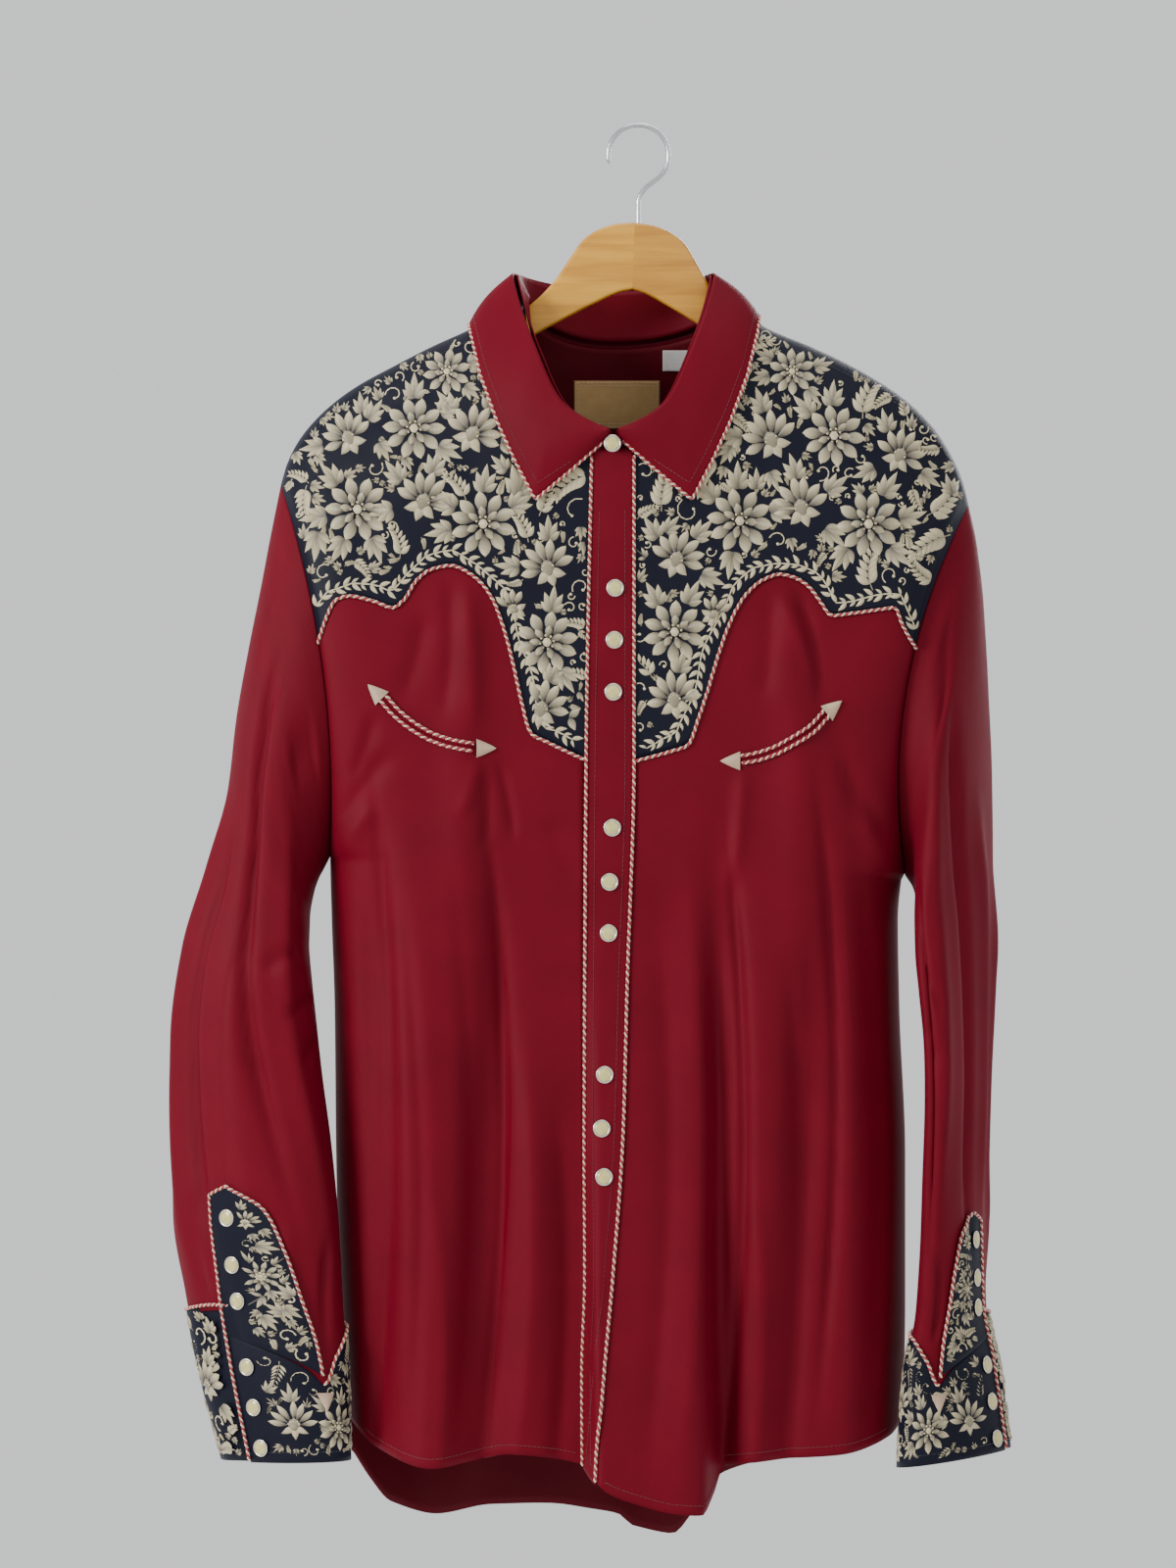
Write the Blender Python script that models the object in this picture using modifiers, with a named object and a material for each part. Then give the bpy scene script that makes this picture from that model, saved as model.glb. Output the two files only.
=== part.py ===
"""Western snap shirt on a wooden hanger, hanging closed, front towards -Y.

Every table is in millimetres, measured from the inside top of the hanger's hook:
x to the viewer's right, y away from the viewer, z up. A cloth panel is an open grid laid on the
shirt's form and thickened with Solidify, so its outer face is the form itself.
"""

import math

import bmesh
import bpy
from mathutils import Matrix, Vector
from mathutils.bvhtree import BVHTree

MM = 0.001
WALL = 1.2  # cloth with its turned seam, as one wall
TRIM_WALL = 1.0
LINING_IN, LINING_WALL = 3.0, 0.8  # the back yoke's lining, measured in from its outer face
SEAM = 0.5  # half of the gap between two panels, which a cord or the next panel covers
LIFT = 0.6  # clearance of a piece that lies on a panel
CORD_RADIUS = 1.3

COLOURS = {
    "red_cloth": ((0.33, 0.012, 0.03), 0.55, 0.0),
    "navy_cloth": ((0.012, 0.016, 0.045), 0.5, 0.0),
    "cord": ((0.75, 0.62, 0.5), 0.6, 0.0),
    "thread": ((0.8, 0.74, 0.6), 0.45, 0.0),
    "pearl": ((0.83, 0.79, 0.6), 0.2, 0.0),
    "wood": ((0.66, 0.42, 0.16), 0.4, 0.0),
    "metal": ((0.7, 0.7, 0.72), 0.25, 1.0),
    "label_tan": ((0.55, 0.42, 0.22), 0.6, 0.0),
    "tag_white": ((0.8, 0.79, 0.77), 0.7, 0.0),
}

# The shoulder line from tip to tip: x, z. It crosses the neck hole as a plain rise.
RIDGE = (
    (-243.5, -243), (-239, -228), (-229, -210), (-212.5, -192), (-192.7, -177), (-166.3, -162.5),
    (-139.9, -149), (-113.5, -137), (-96, -127.5), (-77, -116.5), (-45, -103), (-17, -98), (20, -100),
    (45, -107.5), (61, -116), (75, -127), (87.8, -136.5), (117.5, -149), (150.5, -165), (180.2, -184),
    (200, -203), (213.2, -223), (221.8, -243), (225, -257),
)
# The body's side seams below the armpits: z, left x, right x.
SIDES = (
    (-940, -192, 176), (-880, -198, 180), (-800, -203, 182), (-700, -206, 182), (-600, -207, 178),
    (-540, -209, 177), (-497, -210, 181), (-480, -210, 182),
)
# How wide the round of the body's side is: z, width.
SIDE_ROUND = ((-940, 56), (-600, 62), (-500, 56), (-400, 42), (-300, 26), (-240, 14))
# Front hem and back hem: x, z.
FRONT_HEM = (
    (-206, -868), (-194, -880), (-176, -896), (-140, -907), (-113, -903), (-87, -898), (-41, -904),
    (-29, -915), (-21, -922), (0, -930), (25, -936), (42, -937), (50, -925), (58, -906), (98, -901),
    (137, -898), (170, -888), (183, -874),
)
BACK_HEM = (
    (-206, -874), (-184, -912), (-170, -930), (-140, -938), (-100, -928), (-60, -929), (-34, -934),
    (-14, -946), (-3, -961), (24, -966), (38, -950), (58, -922), (100, -912), (140, -904), (183, -880),
)
# Placket edges: z, left x, right x. It turns away below the last snap.
PLACKET = (
    (-940, -36, -27), (-917, -37, -28.5), (-845, -37.6, -23.8), (-780, -35.5, -17.8),
    (-680, -36.3, -10.6), (-580, -36.3, -7.9), (-431, -35.6, -3.3), (-216, -31.7, -3.3),
)
# Largest vertical folds of the front: top x, top z, bottom x, bottom z, out (+) or in (-), half width.
FRONT_FOLDS = (
    (-181, -400, -176, -930, -9, 13), (-148, -430, -143, -930, 10, 24), (-93, -470, -112, -930, -9, 13),
    (-66, -560, -70, -930, 6, 18), (54, -430, 53, -930, -11, 11), (84, -420, 82, -930, 9, 22),
    (121, -500, 98, -930, -7, 13), (146, -470, 146, -930, 7, 22), (-124, -300, -118, -420, 4, 15),
    (96, -306, 108, -420, 4, 15),
)
BACK_FOLDS = (
    (-160, -360, -150, -960, 9, 22), (-112, -330, -104, -960, -9, 20), (-60, -330, -58, -960, 9, 24),
    (-14, -420, 8, -960, 16, 24), (52, -380, 48, -960, -12, 20), (96, -330, 96, -960, 9, 22),
    (140, -380, 138, -960, -7, 18),
)
# The forward lap of the front beside the placket, which ends in a step: z, how far out.
LAP_OUT = ((-940, 27), (-880, 24), (-800, 17), (-700, 9), (-600, 3), (-540, 0))
LAP_LEFT, LAP_LEFT_WIDTH, LAP_RIGHT, LAP_RIGHT_WIDTH = -39.0, 13.0, 42.0, 14.0

# The neck hole: its middle, its half width on each side, and how deep it is cut in front and behind.
NECK_X, NECK_Z, NECK_FRONT, NECK_BACK = -17.0, -117.0, 104.0, 30.0
NECK_HALF = {"left": 60.0, "right": 78.0}
RIDGE_ROUND = 9.0  # height of the round where the cloth turns over the hanger
TOP_ROWS = (13.0, 5.0, 1.4, 0.0)  # how far below the shoulder seam a yoke's last rows lie

# Lower edge of the front yokes, from the armhole to the placket: x, z.
YOKE_LEFT = (
    (-215.8, -351.8), (-210.5, -335.3), (-203.9, -323.4), (-194.7, -320.8), (-179.5, -324.1),
    (-166.3, -328.7), (-158.4, -323.4), (-149.8, -310.2), (-139.9, -302.9), (-126.7, -300.3),
    (-112.2, -306.9), (-100.3, -320.1), (-92.4, -338.6), (-85.1, -365.0), (-79.2, -391.4),
    (-72.6, -413.2), (-60.7, -419.8), (-35.6, -431.6),
)
YOKE_RIGHT = (
    (186.8, -356.4), (178.2, -341.9), (171.6, -328.7), (157.1, -330.7), (130.7, -334.0),
    (122.8, -325.4), (114.2, -314.2), (103.0, -307.6), (94.4, -306.2), (83.2, -310.2),
    (71.3, -320.8), (61.4, -338.6), (53.5, -360.4), (46.2, -384.8), (39.6, -404.6),
    (33.0, -421.1), (18.5, -426.4), (-3.3, -432.3),
)
# Lower edge of the back yoke on its left half, as shares of the half width, and z.
BACK_YOKE = (
    (0.0, -352), (0.06, -326), (0.16, -322), (0.30, -330), (0.40, -312), (0.52, -302), (0.64, -310),
    (0.74, -336), (0.84, -372), (1.0, -392),
)
RIDGE_COLUMNS = 13  # columns of a front yoke that end on the shoulder seam; the rest end at the neck
CORNER = (0.0, 2.5, 9.0, 20.0, 34.0, 50.0)  # hem columns round the side, from the side seam

# Sleeves, as rings from the armhole to the cuff's end. Each ring is an ellipse through an outer end
# and an inner end: outer x, y, z, inner x, y, z, half depth, how far its front leans to +x, and bow
# of its middle to +x.
SLEEVES = {
    "left": (
        (-243.5, 0, -243, -210, 0, -497, 43, 0, 13.5), (-250, 0, -275, -214, -2, -505, 45, 0, 8),
        (-257, 0, -312, -218, -4, -513, 46, 0, 3), (-265, 0, -352, -221, -6, -523, 47, 0, 0),
        (-274, 2, -402, -223, -8, -537, 46, 0, 0), (-280, 3, -452, -223, -12, -556, 47, 0, 0),
        (-292, 4, -504, -221, -18, -580, 47, 0, 0), (-308, 6, -558, -218, -24, -608, 47, 0, 0),
        (-316.5, 8, -618, -214, -30, -645, 46, 0, 0), (-318, 8, -680, -208, -36, -690, 45, 0, 0),
        (-317.5, 6, -740, -203, -42, -740, 43, 0, 0), (-309, 2, -795, -199.5, -48, -795, 38, 0, 0),
        (-301, -4, -835, -197, -50, -835, 34, 0, 0), (-283, -10, -906, -195, -52, -903, 32, 0, 0),
    ),
    "right": (
        (225, 0, -257, 182, 0, -510, 43, 0, -23), (231, 0, -286, 187, -2, -518, 46, -4, -13),
        (235, 2, -326, 190, -6, -527, 49, -10, -6), (236, 4, -372, 192, -12, -538, 52, -15, -2),
        (236, 6, -424, 193, -18, -552, 56, -19, 0), (236, 6, -478, 194, -24, -572, 58, -20, 0),
        (237, 4, -532, 195, -30, -594, 58, -18, 0), (236, 0, -592, 196, -36, -626, 56, -14, 0),
        (235, -4, -650, 195, -40, -668, 54, -11, 0), (234, -8, -705, 193, -42, -714, 51, -10, 0),
        (235, -10, -755, 191, -44, -760, 47, -9, 0), (236, -14, -800, 187, -46, -806, 43, -8, 0),
        (243, -18, -835, 181, -48, -838, 39, -8, 0), (252, -22, -898, 175, -50, -908, 36, -6, 0),
    ),
}
SLEEVE_TURN = {"left": 0.0, "right": -38.0}  # degrees that the cuff's opening is turned round the arm
CUFF_OPENING, CUFF_POINT = 60.0, 135.0  # degrees round the sleeve from its outer fold
CUFF_UNDERLAP = 26.0
# Upper edge of the cuff: degrees round the sleeve, ring number.
CUFF_TOP = (
    (60, 11.6), (90, 11.85), (120, 12.1), (135, 12.27), (150, 11.95), (180, 11.5), (225, 11.35),
    (270, 11.3), (360, 11.25), (420, 11.1), (446, 11.1),
)
# Right-hand edge of the gauntlet: degrees, ring number. Its left edge is the cuff's opening.
GAUNTLET_TOP, GAUNTLET_RING = 74.0, 9.62
GAUNTLET_EDGE = ((74, 9.62), (97, 9.85), (112, 10.4), (121, 11.0), (128, 11.6), (133, 12.18))

# The collar goes round by an angle from the back (0) to the front (180) on each side.
# Fold line: angle, half width, y, z.
COLLAR_FOLD = (
    (0, 0, 42, -108), (25, 26, 40, -107), (50, 50, 31, -103), (75, 64, 12, -99.5), (95, 66, -7, -101),
    (115, 59, -28, -128), (135, 49, -43, -156), (155, 33, -52, -190), (170, 14, -56, -204),
    (180, 2.5, -57, -209),
)
# Outer edge of the collar leaf: angle, half width, z. It lies on the yoke, past 85 degrees on the front.
COLLAR_EDGE = (
    (0, 0, -160), (25, 40, -158), (50, 76, -150), (70, 92, -141), (85, 97, -134), (97, 95, -142),
    (110, 88, -172), (125, 77, -203), (140, 65, -230), (153, 52, -255), (166, 28, -235),
    (180, 3.5, -214),
)
COLLAR_LIFT, COLLAR_BULGE, STAND_LIFT = 4.2, 4.0, 1.8

# Smile pockets: the welt's line, x and z, from its outer to its inner end.
POCKETS = {
    "left": ((-172, -390), (-164, -399), (-153, -408), (-140, -415.5), (-125, -420.5), (-112, -422.8)),
    "right": ((126, -400), (116.5, -410), (104, -418.5), (92, -425), (80, -429), (69, -431.2)),
}
POCKET_HALF = 3.2
# Arrowheads: middle x, middle z, direction of the tip in degrees from +x.
ARROWS = {
    "left_outer": (-177, -386, 135), "left_inner": (-104, -423.5, 0),
    "right_outer": (130.5, -396.5, 40), "right_inner": (62.5, -432, 180),
}
ARROW_RADIUS = 8.0

SNAP_RADIUS, SNAP_HEIGHT = 6.0, 2.4
# Snaps on the placket: x, z. The first closes the collar.
FRONT_SNAPS = (
    (-17.8, -218), (-16, -315.5), (-16.5, -350.5), (-17.2, -385.5), (-18, -477), (-19.8, -513.5),
    (-20.5, -548), (-23, -643), (-25, -679), (-23.5, -711.5),
)
# Snaps on a cuff: degrees after the opening, ring number.
CUFF_SNAPS = ((14, 10.0), (14, 10.55), (14, 11.02), (13, 12.1), (13, 12.5), (13, 12.86))

LABEL_X, LABEL_Z, LABEL_HALF_W, LABEL_HALF_H = -14.5, -186.5, 29.5, 16.5
TAG_X, TAG_Z, TAG_HALF_W, TAG_HALF_H = 27.0, -156.0, 10.0, 7.0

# The hanger's right half in its own frame, before it is tilted: x, z.
HANGER_TOP = (
    (0, -65), (13, -66.5), (25, -71), (34.5, -78), (42, -89), (52.5, -106), (61, -116.2), (70, -124.6),
    (92, -139.3), (110, -149.3), (150, -170.3), (172, -184.5), (182, -194),
)
HANGER_END = ((186, -200), (184, -207), (177, -208))
HANGER_UNDER = ((150, -191), (110, -170), (72, -148), (36, -127), (8, -112.5), (0, -110.5))
HANGER_HALF, HANGER_EDGE, HANGER_TILT = 6.0, 2.4, math.radians(2.2)
HOOK_RADIUS, WIRE_RADIUS, HOOK_SEAT = 20.6, 1.6, 18.0


def along(rows, at, column=1):
    """The table's smooth value at a place along its first column."""
    if at <= rows[0][0]:
        return rows[0][column]
    if at >= rows[-1][0]:
        return rows[-1][column]
    k = next(i for i in range(1, len(rows)) if at <= rows[i][0]) - 1
    x0, x1 = rows[k][0], rows[k + 1][0]
    y0, y1 = rows[k][column], rows[k + 1][column]
    chord = (y1 - y0) / (x1 - x0)
    before = chord if k == 0 else (y0 - rows[k - 1][column]) / (x0 - rows[k - 1][0])
    last = k + 2 == len(rows)
    after = chord if last else (rows[k + 2][column] - y1) / (rows[k + 2][0] - x1)
    start = 0.0 if before * chord <= 0 else 2 * before * chord / (before + chord)
    end = 0.0 if after * chord <= 0 else 2 * after * chord / (after + chord)
    t, h = (at - x0) / (x1 - x0), x1 - x0
    return (
        y0 * (1 + 2 * t) * (1 - t) ** 2
        + start * h * t * (1 - t) ** 2
        + y1 * t * t * (3 - 2 * t)
        + end * h * t * t * (t - 1)
    )


def step(t):
    t = min(max(t, 0.0), 1.0)
    return t * t * (3 - 2 * t)


def round_off(t):
    """0 to 1 along a quarter circle."""
    t = min(max(t, 0.0), 1.0)
    return math.sqrt(1 - (1 - t) ** 2)


def mix(a, b, t):
    return a + (b - a) * t


# ---- the form of the body -------------------------------------------------------------------


def ridge(x):
    return along(RIDGE, x)


def armhole(side, z):
    """(x, half depth) of the armhole seam at a height, or of the side seam below the armpit."""
    xo, _, zo, xi, _, zi, depth, _, bow = SLEEVES[side][0]
    if z <= zi:
        return along(SIDES, z, 1 if side == "left" else 2), 0.0
    share = min(max((z - (zo + zi) / 2) / ((zo - zi) / 2), -1.0), 1.0)
    out = 1 - share * share
    return (xo + xi) / 2 + share * (xo - xi) / 2 + bow * out, depth * math.sqrt(out)


def folds(rows, x, z):
    total = 0.0
    for top_x, top_z, low_x, low_z, out, half in rows:
        t = (top_z - z) / (top_z - low_z)
        if t > 0:
            off = (x - mix(top_x, low_x, min(t, 1.0))) / half
            total += out * step(t * 2.2) * math.exp(-off * off)
    return total


def lap(x, z):
    left = step((x - LAP_LEFT) / LAP_LEFT_WIDTH)
    right = step((x - LAP_RIGHT) / LAP_RIGHT_WIDTH)
    return along(LAP_OUT, z) * left * (1 - right)


def neck_half(x):
    return NECK_HALF["left" if x < NECK_X else "right"]


def half_depth(x, z, front):
    """How far the shirt's front or back stands from the hanger's plane."""
    drop = ridge(x) - z
    low = max(-300 - z, 0)
    if front:
        depth = 11 + 47 * (1 - math.exp(-max(drop, 0) / 62)) + 0.018 * low
        depth += folds(FRONT_FOLDS, x, z) + lap(x, z)
    else:
        depth = 11 + 40 * (1 - math.exp(-max(drop, 0) / 60)) + 0.026 * low
        depth += folds(BACK_FOLDS, x, z)
    width = along(SIDE_ROUND, z)
    for side, way in (("left", 1), ("right", -1)):
        edge, open_half = armhole(side, z)
        share = round_off(way * (x - edge) / width)
        depth = open_half + (depth - open_half) * share
    return max(depth * round_off(drop / RIDGE_ROUND), SEAM)


def body_point(x, z, front, out=0.0):
    """A point on the body's outer face, moved out along its normal."""
    way = -1 if front else 1
    here = half_depth(x, z, front)
    point = Vector((x, way * here, z))
    if out:
        slope_x = (half_depth(x + 1, z, front) - half_depth(x - 1, z, front)) / 2
        slope_z = (half_depth(x, z + 1, front) - half_depth(x, z - 1, front)) / 2
        point += Vector((-slope_x, way, -slope_z)).normalized() * out
    return point


def front_neck(x):
    """Height of the front neckline."""
    share = min(abs(x - NECK_X) / neck_half(x), 1.0)
    return NECK_Z - NECK_FRONT * math.sqrt(1 - share * share)


def back_neck(x):
    share = min(abs(x - NECK_X) / neck_half(x), 1.0)
    return NECK_Z - NECK_BACK * math.sqrt(1 - share * share)


def placket_edge(z, side):
    return along(PLACKET, z, 1 if side == "left" else 2)


# ---- the form of the sleeves ----------------------------------------------------------------


def sleeve_point(side, ring, angle, out=0.0):
    """A point on the sleeve at a ring number and degrees round from the outer fold, by the front."""
    rings = [(k, *row) for k, row in enumerate(SLEEVES[side])]
    xo, yo, zo, xi, yi, zi, depth, lean, bow = (along(rings, ring, c) for c in range(1, 10))
    turn = math.radians(angle)
    outer, inner = Vector((xo, yo, zo)), Vector((xi, yi, zi))
    bowed = Vector((bow * math.sin(turn) ** 2, 0, 0))
    middle = (outer + inner) / 2 + bowed
    point = middle + (outer - inner) / 2 * math.cos(turn) + Vector((lean, -depth, 0)) * math.sin(turn)
    if out:
        round_it = sleeve_point(side, ring, angle + 2) - sleeve_point(side, ring, angle - 2)
        down_it = sleeve_point(side, min(ring + 0.1, 13), angle) - sleeve_point(side, ring - 0.1, angle)
        normal = round_it.cross(down_it).normalized()
        point += normal * (-out if side == "left" else out)
    return point


def cuff_top(angle):
    return along(CUFF_TOP, angle if angle >= CUFF_OPENING else angle + 360)


# ---- building helpers -----------------------------------------------------------------------


def material(name):
    made = bpy.data.materials.get(name)
    if made is None:
        colour, roughness, metallic = COLOURS[name]
        made = bpy.data.materials.new(name)
        made.use_nodes = True
        shader = made.node_tree.nodes["Principled BSDF"]
        shader.inputs["Base Color"].default_value = (*colour, 1)
        shader.inputs["Roughness"].default_value = roughness
        shader.inputs["Metallic"].default_value = metallic
    return made


def add_object(name, data, finish):
    thing = bpy.data.objects.new(name, data)
    data.materials.append(material(finish))
    SHIRT.objects.link(thing)
    return thing


def sheet(name, across, up, place, finish, wall=WALL, closed=False, inwards=True):
    """A cloth panel: a grid of the given cells whose points place(u, v) puts on the form, thickened.
    u runs across and v up, from 0 to 1, so that the face which u cross v points to is the outer one."""
    mesh = bmesh.new()
    bmesh.ops.create_grid(mesh, x_segments=across, y_segments=up, size=0.5)
    for vertex in mesh.verts:
        vertex.co = place(vertex.co.x + 0.5, vertex.co.y + 0.5) * MM
    if closed:
        bmesh.ops.remove_doubles(mesh, verts=mesh.verts, dist=0.00001)
    data = bpy.data.meshes.new(name)
    mesh.to_mesh(data)
    mesh.free()
    data.shade_smooth()
    panel = add_object(name, data, finish)
    solid = panel.modifiers.new("cloth", "SOLIDIFY")
    solid.thickness = wall * MM
    solid.offset = -1.0 if inwards else 1.0
    return panel


def cord(name, points, radius=CORD_RADIUS):
    """A piping cord along points in millimetres."""
    curve = bpy.data.curves.new(name, "CURVE")
    curve.dimensions = "3D"
    curve.bevel_depth = radius * MM
    curve.bevel_resolution = 1
    curve.use_fill_caps = True
    line = curve.splines.new("POLY")
    line.points.add(len(points) - 1)
    for spot, point in zip(line.points, points):
        spot.co = (*(point * MM), 1)
    return add_object(name, curve, "cord")


def spaced(points, gap):
    """The points of a smooth line, about gap apart, that keeps its corners."""
    kept = [points[0]]
    for point in points[1:-1]:
        if (point - kept[-1]).length >= gap:
            kept.append(point)
    if (points[-1] - kept[-1]).length < gap / 2 and len(kept) > 1:
        kept.pop()
    return kept + [points[-1]]


def set_on(thing, point, normal, heading):
    """Put a thing at a point, its z along the normal and its x as near as can be to the heading."""
    across = normal.cross(heading).normalized()
    ahead = across.cross(normal).normalized()
    matrix = Matrix((ahead, across, normal)).transposed().to_4x4()
    matrix.translation = point * MM
    thing.matrix_world = matrix


def highest(surfaces, point, normal, radius, rays=12):
    """How far the built surfaces reach along normal under a disc round point, in millimetres."""
    reach = []
    side_a = normal.orthogonal().normalized()
    side_b = normal.cross(side_a)
    for k in range(rays + 1):
        turn = math.tau * k / rays
        off = (side_a * math.cos(turn) + side_b * math.sin(turn)) * (radius if k < rays else 0)
        start = (point + off + normal * 15) * MM
        for surface in surfaces:
            hit = surface.ray_cast(start, -normal)[0]
            if hit is not None and (hit - start).length < 0.03:
                reach.append((hit / MM - point).dot(normal))
    return max(reach, default=0.0)


def surfaces_of(pieces, *names):
    graph = bpy.context.evaluated_depsgraph_get()
    return [BVHTree.FromObject(pieces[name], graph) for name in names]


def rest(name, data, spot, heading, surfaces, radius, half):
    """Set a flat piece down on the built surfaces at a spot: a point on the form and its normal."""
    point, normal = spot
    rise = highest(surfaces, point, normal, radius) + half + 0.35
    thing = bpy.data.objects.new(name, data)
    SHIRT.objects.link(thing)
    set_on(thing, point + normal * rise, normal, heading)


def front_spot(x, z):
    base = body_point(x, z, True)
    return base, (body_point(x, z, True, 2.0) - base).normalized()


def sleeve_spot(side, ring, angle):
    base = sleeve_point(side, ring, turned(side, angle))
    return base, (sleeve_point(side, ring, turned(side, angle), 2.0) - base).normalized()


def lay_cord(name, spots, surfaces, gap, clear=0.5):
    """A cord laid on the built surfaces along spots, each a point of the form and its normal."""
    points = []
    for point, normal in spots:
        points.append(point + normal * (highest(surfaces, point, normal, 2.0, 6) + CORD_RADIUS + clear))
    return cord(name, spaced(points, gap))


# ---- body panels ----------------------------------------------------------------------------


def inset_seam(seam, off):
    """The seam's points moved off sideways in plan: up and to the right for a positive off."""
    moved = []
    for k, (x, z) in enumerate(seam):
        before, after = seam[max(k - 1, 0)], seam[min(k + 1, len(seam) - 1)]
        run_x, run_z = after[0] - before[0], after[1] - before[1]
        size = math.hypot(run_x, run_z) * (1 if run_x > 0 else -1)
        moved.append((x - run_z / size * off, z + run_x / size * off))
    return moved


def front_columns(side):
    """For each column of a front: its share of the way from the side to the placket, at hem and seam."""
    seam = inset_seam(YOKE_LEFT if side == "left" else YOKE_RIGHT, -SEAM)
    way = 1 if side == "left" else -1
    hem_z = -890
    hem_width = abs(placket_edge(hem_z, side) - armhole(side, hem_z)[0])
    plain = len(seam) - len(CORNER)
    offsets = list(CORNER) + [mix(CORNER[-1], hem_width, (k + 1) / plain) for k in range(plain)]
    shares = []
    for offset, (x, z) in zip(offsets, seam):
        edge = armhole(side, z)[0]
        shares.append((offset / hem_width, way * (x - edge) / abs(placket_edge(z, side) - edge)))
    shares[0] = (0.0, 0.0)
    shares[-1] = (1.0, 1.0)
    return seam, shares


def front_plan(side, column, t):
    """Plan place, x and z, on a front at a column and a share of the height from hem to yoke."""
    seam, shares = front_columns(side)
    at_hem, at_seam = shares[column]
    armpit = SLEEVES[side][0][5]
    top = seam[column][1]
    share = mix(at_hem, at_seam, step(t))
    z = -700.0
    for _ in range(6):
        edge = armhole(side, z)[0]
        inner = placket_edge(z, side) + (-SEAM if side == "left" else SEAM)
        x = mix(edge, inner, share)
        low = along(FRONT_HEM, x)
        z = mix(low, armpit, t / 0.62) if t < 0.62 else mix(armpit, top, (t - 0.62) / 0.38)
    return x, z


def build_front(side):
    last = len(YOKE_LEFT) - 1
    rows = 13

    def place(u, v):
        column = round(u * last)
        column = column if side == "left" else last - column
        x, z = front_plan(side, column, v)
        return body_point(x, z, True)

    return sheet(f"front_{side}", last, rows, place, "red_cloth")


def yoke_top(side, column):
    """Plan place of a front yoke's upper end at a column: on the shoulder seam, then on the neckline."""
    way, half = (-1, NECK_HALF["left"]) if side == "left" else (1, NECK_HALF["right"])
    tip = RIDGE[0][0] if side == "left" else RIDGE[-1][0]
    last = len(YOKE_LEFT) - 1
    if column < RIDGE_COLUMNS:
        share = column / (RIDGE_COLUMNS - 1)
        x = mix(tip, NECK_X + way * half, 1 - (1 - share) ** 1.15)
        return x, ridge(x)
    share = (column - RIDGE_COLUMNS + 1) / (last - RIDGE_COLUMNS + 1)
    end = math.acos(abs(placket_edge(-218, side) - NECK_X) / half)
    x = NECK_X + way * half * math.cos(end * share)
    return x, front_neck(x)


def row_height(low, top, row, rows):
    """Height of a yoke's row, counted from 0; the last rows turn over the shoulder."""
    plain = rows - len(TOP_ROWS) + 1
    if row >= plain:
        return top - TOP_ROWS[row - plain]
    return mix(low, top - TOP_ROWS[0], row / plain)


def armhole_bend(side, low, top, t):
    """How far the armhole lies off the straight line between two plan points, a share of the way up."""
    return armhole(side, mix(low[1], top[1], t))[0] - mix(low[0], top[0], t)


def yoke_plan(side, column, row, rows):
    """Plan place, x and z, on a front yoke at a column and a row from its lower edge."""
    seam = inset_seam(YOKE_LEFT if side == "left" else YOKE_RIGHT, SEAM)
    last = len(seam) - 1
    low_x, low_z = seam[column]
    top_x, top_z = yoke_top(side, column)
    z = row_height(low_z, top_z, row, rows)
    t = (z - low_z) / (top_z - low_z)
    bend = armhole_bend(side, seam[0], yoke_top(side, 0), t)
    x = mix(low_x, top_x, t) + bend * (1 - column / last) ** 3
    if column == last:
        x = placket_edge(z, side) + (-SEAM if side == "left" else SEAM)
    return x, z


def build_front_yoke(side):
    last, rows = len(YOKE_LEFT) - 1, 9

    def place(u, v):
        column = round(u * last)
        column = column if side == "left" else last - column
        x, z = yoke_plan(side, column, round(v * rows), rows)
        return body_point(x, z, True)

    return sheet(f"front_yoke_{side}", last, rows, place, "navy_cloth")


def back_shares(columns):
    """Shares of the back's width for its columns, close together round each side."""
    shares = [0.5 - 0.5 * math.cos(math.pi * (k / columns)) for k in range(columns + 1)]
    return [mix(share, k / columns, 0.45) for k, share in enumerate(shares)]


def back_seam(share, off=0.0):
    """Height of the back yoke's lower edge at a share of the back's width, or of a line off to one side."""
    place = min(share, 1 - share) * 2
    slope = (along(BACK_YOKE, place + 0.01) - along(BACK_YOKE, place - 0.01)) / (0.02 * 195)
    return along(BACK_YOKE, place) + off * math.hypot(1, slope)


def back_x(share, z):
    return mix(armhole("left", z)[0], armhole("right", z)[0], share)


BACK_COLUMNS = 24  # a third of them under the neck


def build_back():
    shares = back_shares(BACK_COLUMNS)

    def place(u, v):
        share = shares[BACK_COLUMNS - round(u * BACK_COLUMNS)]
        armpit = mix(SLEEVES["left"][0][5], SLEEVES["right"][0][5], share)
        top = back_seam(share, -SEAM)
        z = -700.0
        for _ in range(6):
            x = back_x(share, z)
            low = along(BACK_HEM, x)
            z = mix(low, armpit, v / 0.62) if v < 0.62 else mix(armpit, top, (v - 0.62) / 0.38)
        return body_point(x, z, False)

    return sheet("back", BACK_COLUMNS, 13, place, "red_cloth")


def back_yoke_top(column):
    """Plan place of the back yoke's upper end at a column: shoulder, neck, shoulder."""
    third = BACK_COLUMNS // 3
    left, right = NECK_X - NECK_HALF["left"], NECK_X + NECK_HALF["right"]
    if column <= third:
        x = mix(RIDGE[0][0], left, column / third)
        return x, ridge(x)
    if column >= 2 * third:
        x = mix(right, RIDGE[-1][0], column / third - 2)
        return x, ridge(x)
    turn = math.pi * (column / third - 1)
    x = NECK_X - math.cos(turn) * (NECK_HALF["left"] if math.cos(turn) > 0 else NECK_HALF["right"])
    return x, back_neck(x)


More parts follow.
